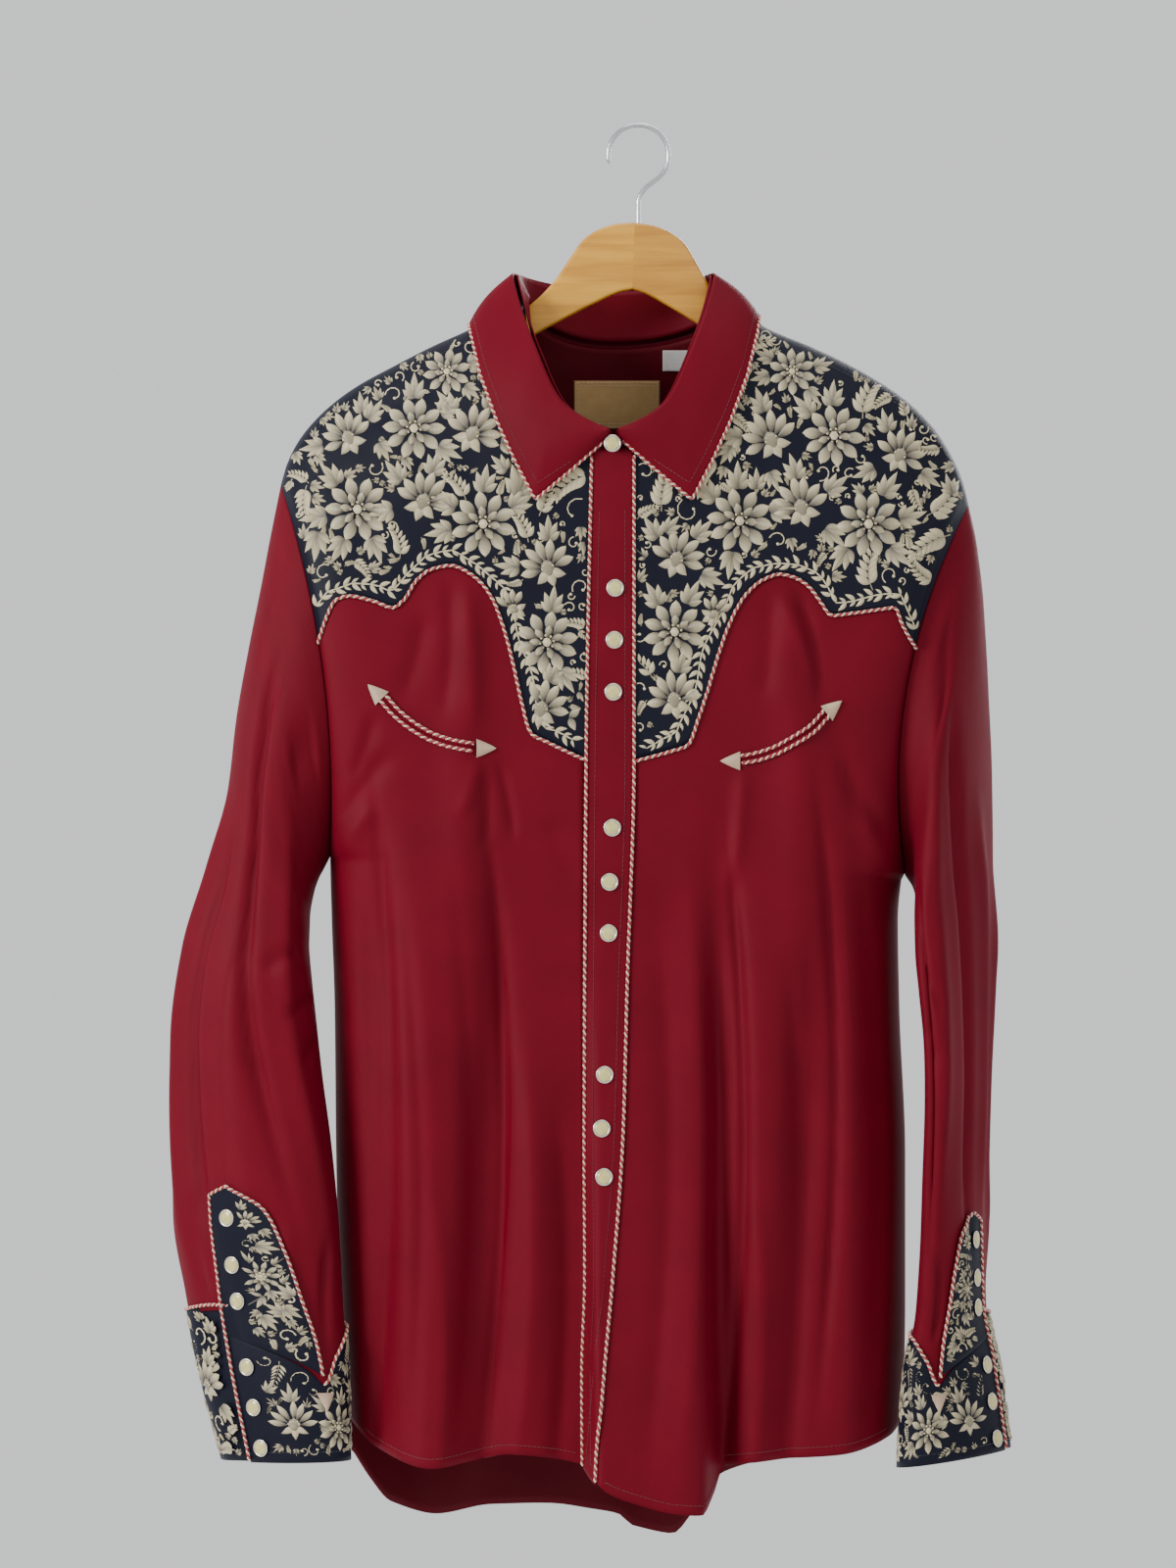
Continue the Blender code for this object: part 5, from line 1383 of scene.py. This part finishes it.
def pocketLine(side, off, count=60):
    rows = [(k, x, z) for k, (x, z) in enumerate(pockets[side])]
    k = np.linspace(0, len(rows) - 1, count)
    x, z = along(rows, k, 1), along(rows, k, 2)
    runX, runZ = np.gradient(x), np.gradient(z)
    size = np.hypot(runX, runZ) * (1 if side == "left" else -1)
    return x - runZ / size * off, z + runX / size * off


def makePocket(side):
    def place(u, v):
        turnU = u if side == "left" else 1 - u
        k = turnU * 59
        low, high = (pocketLine(side, off) for off in (-pockets["half"], pockets["half"]))
        x = mix(np.interp(k, np.arange(60), low[0]), np.interp(k, np.arange(60), high[0]), v)
        z = mix(np.interp(k, np.arange(60), low[1]), np.interp(k, np.arange(60), high[1]), v)
        out = 0.8 + 0.9 * np.sin(np.pi * v) - 1.3 * np.exp(-(((v - 0.5) / 0.1) ** 2))
        return bodyPoint(x, z, True, out)[0], (x, z)

    welt = clothPanel(f"pocket_{side}_welt", 44, 12, place, redTwill, wall=0.8)
    claim(welt, "red_cloth", f"pocket_{side}")
    routes = []
    for off in (-pockets["half"], pockets["half"]):
        x, z = pocketLine(side, off)
        routes.append(bodyPoint(x, z, True, np.full(x.shape, 1.5)))
    twistedCord(f"pocket_{side}_piping", routes)


def makeArrows():
    names = []
    work = newWork()
    for name, (x, z, turn) in pockets["arrows"].items():
        a = math.radians(turn)
        back = pockets["arrowLength"] * 0.42
        addPetal(
            work, "arrow", x - back * math.cos(a), z - back * math.sin(a), turn,
            pockets["arrowLength"], pockets["arrowWidth"], 1.1, tones=(0.4, 0.9), lift=0.5,
        )
        names.append(f"arrow_{name}")

    def place(x, z, height):
        return bodyPoint(x, z, True, height + 0.9)[0]

    layWork("pocket_arrowheads", work, place, arrowThread, *names)
    for side in ("left", "right"):
        work = newWork()
        addPetal(
            work, "arrow", cuff["point"] * cuffScale, 48.5, -90, 13.0, 12.5, 1.1, tones=(0.4, 0.9), lift=0.4
        )

        def placeOnCuff(x, z, height, side=side):
            return sleevePoint(side, along(cuffHeights, z), turned(side, x / cuffScale), height + 1.6)[0]

        layWork(f"cuff_{side}_arrowhead", work, placeOnCuff, arrowThread, f"arrow_cuff_{side}")
    return names


# Snaps: a pearl dome in a metal rim.


snap = {"radius": 6.0, "dome": 4.7, "rise": 1.15, "rim": 0.75}
frontSnaps = (
    (-17.8, -218), (-16, -315.5), (-16.5, -350.5), (-17.2, -385.5), (-18, -477), (-19.8, -513.5),
    (-20.5, -548), (-23, -643), (-25, -679), (-23.5, -711.5),
)
# degrees after the opening, ring
cuffSnaps = ((14, 10.0), (14, 10.55), (14, 11.02), (13, 12.1), (13, 12.5), (13, 12.86))


def pearlFinish():
    finish, tree, shader = startFinish(
        "pearl", (0.52, 0.42, 0.14), 0.22,
        **{"Coat Weight": 0.4, "Coat Roughness": 0.08, "Specular IOR Level": 0.6, "Subsurface Weight": 0.12},
    )
    place = addNode(tree, "ShaderNodeTexCoord")
    veins = addNode(tree, "ShaderNodeTexNoise", Scale=150.0, Detail=2.0, Distortion=2.2)
    tree.links.new(place.outputs["Object"], veins.inputs["Vector"])
    tint = blendColours(tree, veins.outputs["Fac"], (0.44, 0.34, 0.09), (0.62, 0.53, 0.23))
    tree.links.new(tint.outputs[2], shader.inputs["Base Color"])
    return finish


def metalFinish(name, colour, roughness, scale):
    finish, tree, shader = startFinish(name, colour, roughness, **{"Metallic": 1.0})
    place = addNode(tree, "ShaderNodeTexCoord")
    stretch = addNode(tree, "ShaderNodeMapping")
    stretch.inputs["Scale"].default_value = (1, 1, 0.08)
    scratches = addNode(tree, "ShaderNodeTexNoise", Scale=scale, Detail=4.0)
    tree.links.new(place.outputs["Object"], stretch.inputs["Vector"])
    tree.links.new(stretch.outputs[0], scratches.inputs["Vector"])
    spread = addNode(tree, "ShaderNodeMapRange")
    spread.inputs["To Min"].default_value = roughness * 0.6
    spread.inputs["To Max"].default_value = roughness * 1.5
    tree.links.new(scratches.outputs["Fac"], spread.inputs["Value"])
    tree.links.new(spread.outputs[0], shader.inputs["Roughness"])
    tint = blendColours(tree, scratches.outputs["Fac"], tuple(0.82 * c for c in colour), colour)
    tree.links.new(tint.outputs[2], shader.inputs["Base Color"])
    return finish


pearl = pearlFinish()
rimMetal = metalFinish("rim_metal", (0.62, 0.58, 0.50), 0.28, 900.0)
steel = metalFinish("hook_steel", (0.55, 0.56, 0.58), 0.26, 60.0)


def snapTemplate():
    deselect()
    bpy.ops.mesh.primitive_uv_sphere_add(segments=28, ring_count=12, radius=1)
    dome = bpy.context.object
    for v in dome.data.vertices:
        x, y, z = v.co
        v.co = (x * snap["dome"], y * snap["dome"], max(z, -0.2) * snap["rise"] + 0.55)
    bpy.ops.object.shade_smooth()
    dome.data.materials.append(pearl)
    deselect()
    bpy.ops.mesh.primitive_torus_add(
        major_segments=28, minor_segments=8,
        major_radius=snap["radius"] - snap["rim"], minor_radius=snap["rim"],
    )
    rim = bpy.context.object
    for v in rim.data.vertices:
        v.co.z = v.co.z * 0.9 + 0.5
    bpy.ops.object.shade_smooth()
    rim.data.materials.append(rimMetal)
    return joined("snap_model", dome, rim)


def setOn(model, name, point, facing, heading, slotName, *cadNodes):
    copy = bpy.data.objects.new(name, model.data.copy())
    bpy.context.scene.collection.objects.link(copy)
    facing = Vector(facing).normalized()
    across = facing.cross(Vector(heading)).normalized()
    ahead = across.cross(facing).normalized()
    matrix = Matrix((ahead, across, facing)).transposed().to_4x4()
    matrix.translation = Vector(point) * toMetres
    copy.data.transform(matrix @ Matrix.Scale(toMetres, 4))
    claim(copy, slotName, *cadNodes)
    return copy


def makeSnaps():
    model = snapTemplate()
    up = (0, 0, 1)
    for k, (x, z) in enumerate(frontSnaps):
        name = f"snap_front_{k + 1:02d}"
        if k == 0:
            collarSnapY = float(bodyPoint(np.array([x]), np.array([z]), True, 6.2)[0][0, 1])
            setOn(model, name + "_pearl", (x, collarSnapY, z), (0, -1, 0.12), up, "pearl", name)
            continue
        point, facing = bodyPoint(np.array([x]), np.array([z]), True, np.array([1.5]))
        setOn(model, name + "_pearl", point[0], facing[0], up, "pearl", name)
    for side in ("left", "right"):
        for k, (after, ring) in enumerate(cuffSnaps):
            angle = np.array([turned(side, cuff["opening"] + after)], float)
            point, facing = sleevePoint(side, np.array([ring]), angle, 2.6 if ring < 11.3 else 1.9)
            name = f"snap_{side}_{k + 1}"
            setOn(model, f"{name}_pearl", point[0], facing[0], up, "pearl", name)
    bpy.data.objects.remove(model)


# Stitches: short threads in a row on the form.


stitch = {"length": 2.3, "step": 3.1, "radius": 0.19}


def stitchRow(name, points, facings, finish, slotName, out=0.06):
    at, spread, faced = evenly(np.asarray(points), np.asarray(facings), 0.5)
    lines = []
    start = 0.6
    while start + stitch["length"] < at[-1]:
        k = np.linspace(start, start + stitch["length"], 3)
        line = np.stack([np.interp(k, at, spread[:, c]) for c in range(3)], -1)
        face = np.stack([np.interp(k, at, faced[:, c]) for c in range(3)], -1)
        lines.append(line + face * (np.array([-0.1, 0.12, -0.1]) + out)[:, None])
        start += stitch["step"]
    row = tubeAlong(lines, stitch["radius"], name, 0)
    row.data.materials.clear()
    row.data.materials.append(finish)
    row.name = name
    claim(row, slotName)
    return row


def makeStitches():
    z = np.linspace(-905, -262, 400)
    for side, way in (("left", 1), ("right", -1)):
        edge = placketEdge(z, side) + way * 6.0
        route = bodyPoint(edge, z, True, np.full(z.shape, 1.25))
        stitchRow(f"placket_stitches_{side}", *route, redStitch, "red_cloth")
        x = np.linspace(
            float(placketEdge(-905, side)) - way * 5, float(armhole(side, -880)[0]) + way * 12, 120
        )
        hemRoute = bodyPoint(x, along(form["frontHem"], x) + 6.5, True, np.full(x.shape, 0.1))
        stitchRow(f"hem_stitches_{side}", *hemRoute, redStitch, "red_cloth")
        c = np.linspace(1.0, 11.6, 80)
        topX, topZ = yokeTop(side, c)
        seam = bodyPoint(topX, topZ - 9, True, np.full(c.shape, 0.1))
        stitchRow(f"shoulder_stitches_{side}", *seam, navyStitch, "navy_cloth")
        angles = np.linspace(cuff["opening"] + 6, cuff["opening"] + 356, 140)
        ring, lift = np.full(angles.shape, 12.9), np.full(angles.shape, 1.35)
        points, facings = sleevePoint(side, ring, turned(side, angles), lift)
        stitchRow(f"cuff_stitches_{side}", points, facings, navyStitch, "navy_cloth")
    x = np.linspace(-170, 165, 200)
    route = bodyPoint(x, along(form["backHem"], x) + 6.5, False, np.full(x.shape, 0.1))
    stitchRow("hem_stitches_back", *route, redStitch, "red_cloth")
    u = np.linspace(0.05, 0.95, 400)
    angle, way = collarAngle(u)
    edge, above = (collarPoint(angle, way, np.full(u.shape, share)) for share in (0.14, 0.24))
    facing = unit(np.cross(np.gradient(edge, axis=0), above - edge))
    outward = facing * np.sign((facing * (edge - np.array([form["neckX"], 0, -190]))).sum(-1, keepdims=True))
    stitchRow("collar_stitches", edge, outward, redStitch, "red_cloth")


# Labels inside the back of the neck, both left blank.


label = {
    "x": -14.5, "z": -186.5, "halfWidth": 29.5, "halfHeight": 16.5,
    "tagX": 27.0, "tagZ": -156.0, "tagHalfWidth": 10.0, "tagHalfHeight": 7.0,
}


def labelFinish():
    finish, tree, shader = startFinish(
        "label_satin", (0.55, 0.33, 0.12), 0.5,
        **{"Sheen Weight": 0.3, "Sheen Roughness": 0.4, "Specular IOR Level": 0.45},
    )
    uv = addNode(tree, "ShaderNodeUVMap", uv_map="UVMap")
    rows, columns = (
        addNode(
            tree, "ShaderNodeTexWave", wave_type="BANDS", bands_direction=way, Scale=scale, Distortion=0.5
        )
        for way, scale in (("Y", 55.0), ("X", 34.0))
    )
    patches = addNode(tree, "ShaderNodeTexNoise", Scale=14.0, Detail=3.0)
    for texture in (rows, columns, patches):
        tree.links.new(uv.outputs[0], texture.inputs["Vector"])
    tint = blendColours(tree, patches.outputs["Fac"], (0.50, 0.29, 0.09), (0.64, 0.40, 0.15))
    lines = addNode(tree, "ShaderNodeMix", data_type="RGBA", blend_type="MULTIPLY")
    lines.inputs[0].default_value = 0.3
    tree.links.new(tint.outputs[2], lines.inputs[6])
    tree.links.new(rows.outputs["Fac"], lines.inputs[7])
    tree.links.new(lines.outputs[2], shader.inputs["Base Color"])
    first = addBump(tree, shader, rows.outputs["Fac"], 0.4, 0.0003)
    addBump(tree, shader, columns.outputs["Fac"], 0.25, 0.0002, first)
    return finish


def makeLabels():
    def labelPlace(u, v):
        x = label["x"] + mix(-label["halfWidth"], label["halfWidth"], u)
        z = label["z"] + mix(-label["halfHeight"], label["halfHeight"], v)
        return bodyPoint(x, z, False, np.full(u.shape, -4.4))[0], (x, z)

    panel = clothPanel("neck_label_cloth", 40, 24, labelPlace, labelFinish(), wall=0.6)
    claim(panel, "label_tan", "neck_label")
    for k, inset in enumerate((1.2, 3.4)):
        w, h = label["halfWidth"] - inset, label["halfHeight"] - inset
        corners = ((-w, -h), (w, -h), (w, h), (-w, h), (-w, -h))
        x = np.concatenate([np.linspace(a[0], b[0], 40) for a, b in zip(corners, corners[1:])]) + label["x"]
        z = np.concatenate([np.linspace(a[1], b[1], 40) for a, b in zip(corners, corners[1:])]) + label["z"]
        points, facings = bodyPoint(x, z, False, np.full(x.shape, -4.55))
        stitchRow(f"label_border_{k + 1}", points, -facings, creamStrand, "label_tan")

    def tagPlace(u, v):
        x = label["tagX"] + mix(-label["tagHalfWidth"], label["tagHalfWidth"], u)
        z = label["tagZ"] + mix(-label["tagHalfHeight"], label["tagHalfHeight"], v)
        return bodyPoint(x, z, False, -4.5 - 1.6 * (1 - v))[0], (x, z)

    tag = clothPanel("size_tag_cloth", 16, 12, tagPlace, tagCloth, wall=0.4)
    claim(tag, "tag_white", "size_tag")


# The hanger: birch in two halves glued at the middle, the right half painted darker as painted shade, and a
# steel wire hook.


hanger = {
    "top": (
        (0, -65), (13, -66.5), (25, -71), (34.5, -78), (42, -89), (52.5, -106), (61, -116.2), (70, -124.6),
        (92, -139.3), (110, -149.3), (150, -170.3), (172, -184.5), (182, -194), (186, -200), (184, -207),
        (177, -208),
    ),
    "under": ((150, -191), (110, -170), (72, -148), (36, -127), (8, -112.5), (0, -110.5)),
    "half": 6.0, "bevel": 2.4, "tilt": math.radians(2.2),
    "hookRadius": 20.6, "wire": 1.6, "stemLow": -82.0,
}


def birchFinish(name, tones, turn):
    finish, tree, shader = startFinish(
        name, tones[0], 0.34,
        **{"Coat Weight": 0.25, "Coat Roughness": 0.25, "Specular IOR Level": 0.45},
    )
    place = addNode(tree, "ShaderNodeTexCoord")
    stretch = addNode(tree, "ShaderNodeMapping")
    stretch.inputs["Rotation"].default_value = (0, math.radians(turn), 0)
    stretch.inputs["Scale"].default_value = (5.0, 60.0, 60.0)
    apart = addNode(tree, "ShaderNodeTexNoise", Scale=1.6, Detail=6.0, Distortion=0.8)
    fine = addNode(tree, "ShaderNodeTexNoise", Scale=9.0, Detail=4.0)
    tree.links.new(place.outputs["Object"], stretch.inputs["Vector"])
    tree.links.new(stretch.outputs[0], apart.inputs["Vector"])
    tree.links.new(stretch.outputs[0], fine.inputs["Vector"])
    spread = addNode(tree, "ShaderNodeMapRange")
    spread.inputs["From Min"].default_value, spread.inputs["From Max"].default_value = 0.32, 0.68
    tree.links.new(apart.outputs["Fac"], spread.inputs["Value"])
    tint = blendColours(tree, spread.outputs[0], tones[0], tones[1])
    grain = addNode(tree, "ShaderNodeMix", data_type="RGBA", blend_type="MULTIPLY")
    grain.inputs[0].default_value = 0.28
    tree.links.new(tint.outputs[2], grain.inputs[6])
    tree.links.new(fine.outputs["Fac"], grain.inputs[7])
    tree.links.new(grain.outputs[2], shader.inputs["Base Color"])
    addBump(tree, shader, fine.outputs["Fac"], 0.12, 0.0004)
    return finish


# The right half's colours are darker than the left's: painted shade on the right arm's face.
birchHalvesPaintedShadeRight = (
    birchFinish("birch_left", ((0.50, 0.215, 0.014), (0.68, 0.335, 0.028)), -28),
    birchFinish("birch_right_painted_shade", ((0.43, 0.18, 0.012), (0.60, 0.285, 0.024)), 28),
)


def makeHanger():
    rows = list(hanger["top"]) + list(hanger["under"])
    k = np.linspace(0, len(rows) - 1, 3 * (len(rows) - 1) + 1)
    numbered = [(i, *row) for i, row in enumerate(rows)]
    x, z = along(numbered, k, 1), along(numbered, k, 2)
    outline = list(zip(x, z)) + list(zip(-x, z))[-2:0:-1]
    deselect()
    bpy.ops.mesh.primitive_circle_add(vertices=len(outline), radius=1, fill_type="NGON")
    board = bpy.context.object
    for v, (px, pz) in zip(board.data.vertices, outline):
        v.co = (px * toMetres, -hanger["half"] * toMetres, pz * toMetres)
    bpy.ops.object.mode_set(mode="EDIT")
    bpy.ops.mesh.select_all(action="SELECT")
    bpy.ops.mesh.extrude_region_move(TRANSFORM_OT_translate={"value": (0, 2 * hanger["half"] * toMetres, 0)})
    bpy.ops.mesh.select_all(action="SELECT")
    bpy.ops.mesh.normals_make_consistent(inside=False)
    bpy.ops.object.mode_set(mode="OBJECT")
    eased = board.modifiers.new("eased edges", "BEVEL")
    eased.width = hanger["bevel"] * toMetres
    eased.segments = 4
    eased.limit_method = "ANGLE"
    eased.angle_limit = math.radians(50)
    bpy.ops.object.modifier_apply(modifier=eased.name)
    bpy.ops.object.mode_set(mode="EDIT")
    bpy.ops.mesh.select_all(action="SELECT")
    bpy.ops.mesh.bisect(plane_co=(0, 0, 0), plane_no=(1, 0, 0))
    bpy.ops.object.mode_set(mode="OBJECT")
    board.data.materials.clear()
    for half in birchHalvesPaintedShadeRight:
        board.data.materials.append(half)
    for face in board.data.polygons:
        face.material_index = 1 if face.center.x > 0 else 0
    board.data.transform(Matrix.Rotation(hanger["tilt"], 4, "Y"))
    bpy.ops.object.shade_smooth_by_angle(angle=math.radians(32))
    board.name = "hanger_wood"
    claim(board, "wood", "hanger")


def makeHook():
    radius, wire = hanger["hookRadius"], hanger["wire"]
    centre = -radius + wire
    rows = [(0, 0, z) for z in (hanger["stemLow"], -70, -58, -51)] + [(0.9, 0, -47), (4.4, 0, -41.8)]
    for turn in np.linspace(math.radians(-58), math.radians(196), 22):
        rows.append((math.cos(turn) * radius, 0, centre + math.sin(turn) * radius))
    numbered = [(i, *row) for i, row in enumerate(rows)]
    k = np.linspace(0, len(rows) - 1, 8 * len(rows))
    line = np.stack([along(numbered, k, c) for c in (1, 2, 3)], -1)

    def tips(count):
        radii = np.ones(count)
        radii[-6:] = (0.98, 0.93, 0.83, 0.68, 0.48, 0.2)
        return radii

    hook = tubeAlong([line], wire, "hook_wire", 4, tips)
    hook.data.materials.clear()
    hook.data.materials.append(steel)
    claim(hook, "metal", "hook")


# Build it all.


def declare(panel, slotName, *cadNodes):
    claim(panel, slotName, *cadNodes)


makeHanger()
makeHook()
print("hanger done")
for side in ("left", "right"):
    declare(makeFront(side), "red_cloth", f"front_{side}")
    declare(makeFrontYoke(side), "navy_cloth", f"front_yoke_{side}")
    declare(makeSleeve(side), "red_cloth", f"sleeve_{side}")
    declare(makeCuff(side), "navy_cloth", f"cuff_{side}")
    declare(makeGauntlet(side), "navy_cloth", f"gauntlet_{side}")
declare(makeBack(), "red_cloth", "back")
declare(makeBackYoke(), "navy_cloth", "back_yoke")
declare(makeLining(), "red_cloth", "back_yoke_lining")
declare(makePlacket(), "red_cloth", "placket")
collarStand, collarLeaf = makeCollar()
declare(collarStand, "red_cloth", "collar_stand")
declare(collarLeaf, "red_cloth", "collar_leaf")
print("cloth done")
makeBodyCords()
makeCollarCord()
for side in ("left", "right"):
    makeCuffCords(side)
    makePocket(side)
makeArrows()
print("cords and pockets done")
for side in ("left", "right"):
    makeYokeWork(side)
    makeCuffWork(side)
makeBackWork()
print("embroidery done")
makeSnaps()
makeLabels()
makeStitches()
print("snaps, labels and stitches done")


# Plain floor and backdrop, soft light, camera.


studio = {
    "floor": -1.35, "pale": (0.80, 0.80, 0.80),
    "camera": (-34.3, -447.5), "distance": 5.0, "span": 1.0688,
}


def makeStudio():
    pale, tree, shader = startFinish("backdrop", studio["pale"], 0.9)
    place = addNode(tree, "ShaderNodeTexCoord")
    mottled = addNode(tree, "ShaderNodeTexNoise", Scale=0.8)
    tree.links.new(place.outputs["Object"], mottled.inputs["Vector"])
    tint = blendColours(tree, mottled.outputs["Fac"], (0.78, 0.78, 0.78), (0.82, 0.82, 0.82))
    tree.links.new(tint.outputs[2], shader.inputs["Base Color"])
    deselect()
    bpy.ops.mesh.primitive_plane_add(size=3.2, location=(0, 0, studio["floor"]))
    floor = bpy.context.object
    floor.name = "floor"
    floor.data.materials.append(pale)
    world = bpy.data.worlds.new("studio_air")
    world.use_nodes = True
    world.node_tree.nodes["Background"].inputs[0].default_value = (0.93, 0.94, 0.96, 1)
    world.node_tree.nodes["Background"].inputs[1].default_value = 0.95
    bpy.context.scene.world = world
    lights = (
        ("key", (-2.3, -1.5, 0.35), 0.9, 92), ("fill", (1.5, -2.6, 0.2), 1.6, 16),
        ("top", (0, -0.2, 1.9), 1.6, 30),
        ("behind", (0.9, 2.6, 0.6), 1.6, 60),
    )
    for name, spot, size, power in lights:
        lamp = bpy.data.lights.new(name, "AREA")
        lamp.shape = "SQUARE"
        lamp.size = size
        lamp.energy = power
        thing = bpy.data.objects.new(name, lamp)
        bpy.context.scene.collection.objects.link(thing)
        thing.location = spot
        aim = Vector((-0.03, 0, -0.45)) - Vector(spot)
        thing.rotation_euler = aim.to_track_quat("-Z", "Y").to_euler()
    x, z = studio["camera"]
    lens = bpy.data.cameras.new("camera")
    lens.sensor_fit = "VERTICAL"
    lens.sensor_height = 36
    lens.lens = 36 * studio["distance"] / studio["span"]
    camera = bpy.data.objects.new("camera", lens)
    bpy.context.scene.collection.objects.link(camera)
    camera.location = (x * toMetres, -studio["distance"], z * toMetres)
    camera.rotation_euler = (math.radians(90), 0, 0)
    bpy.context.scene.camera = camera


makeStudio()
print("studio done")
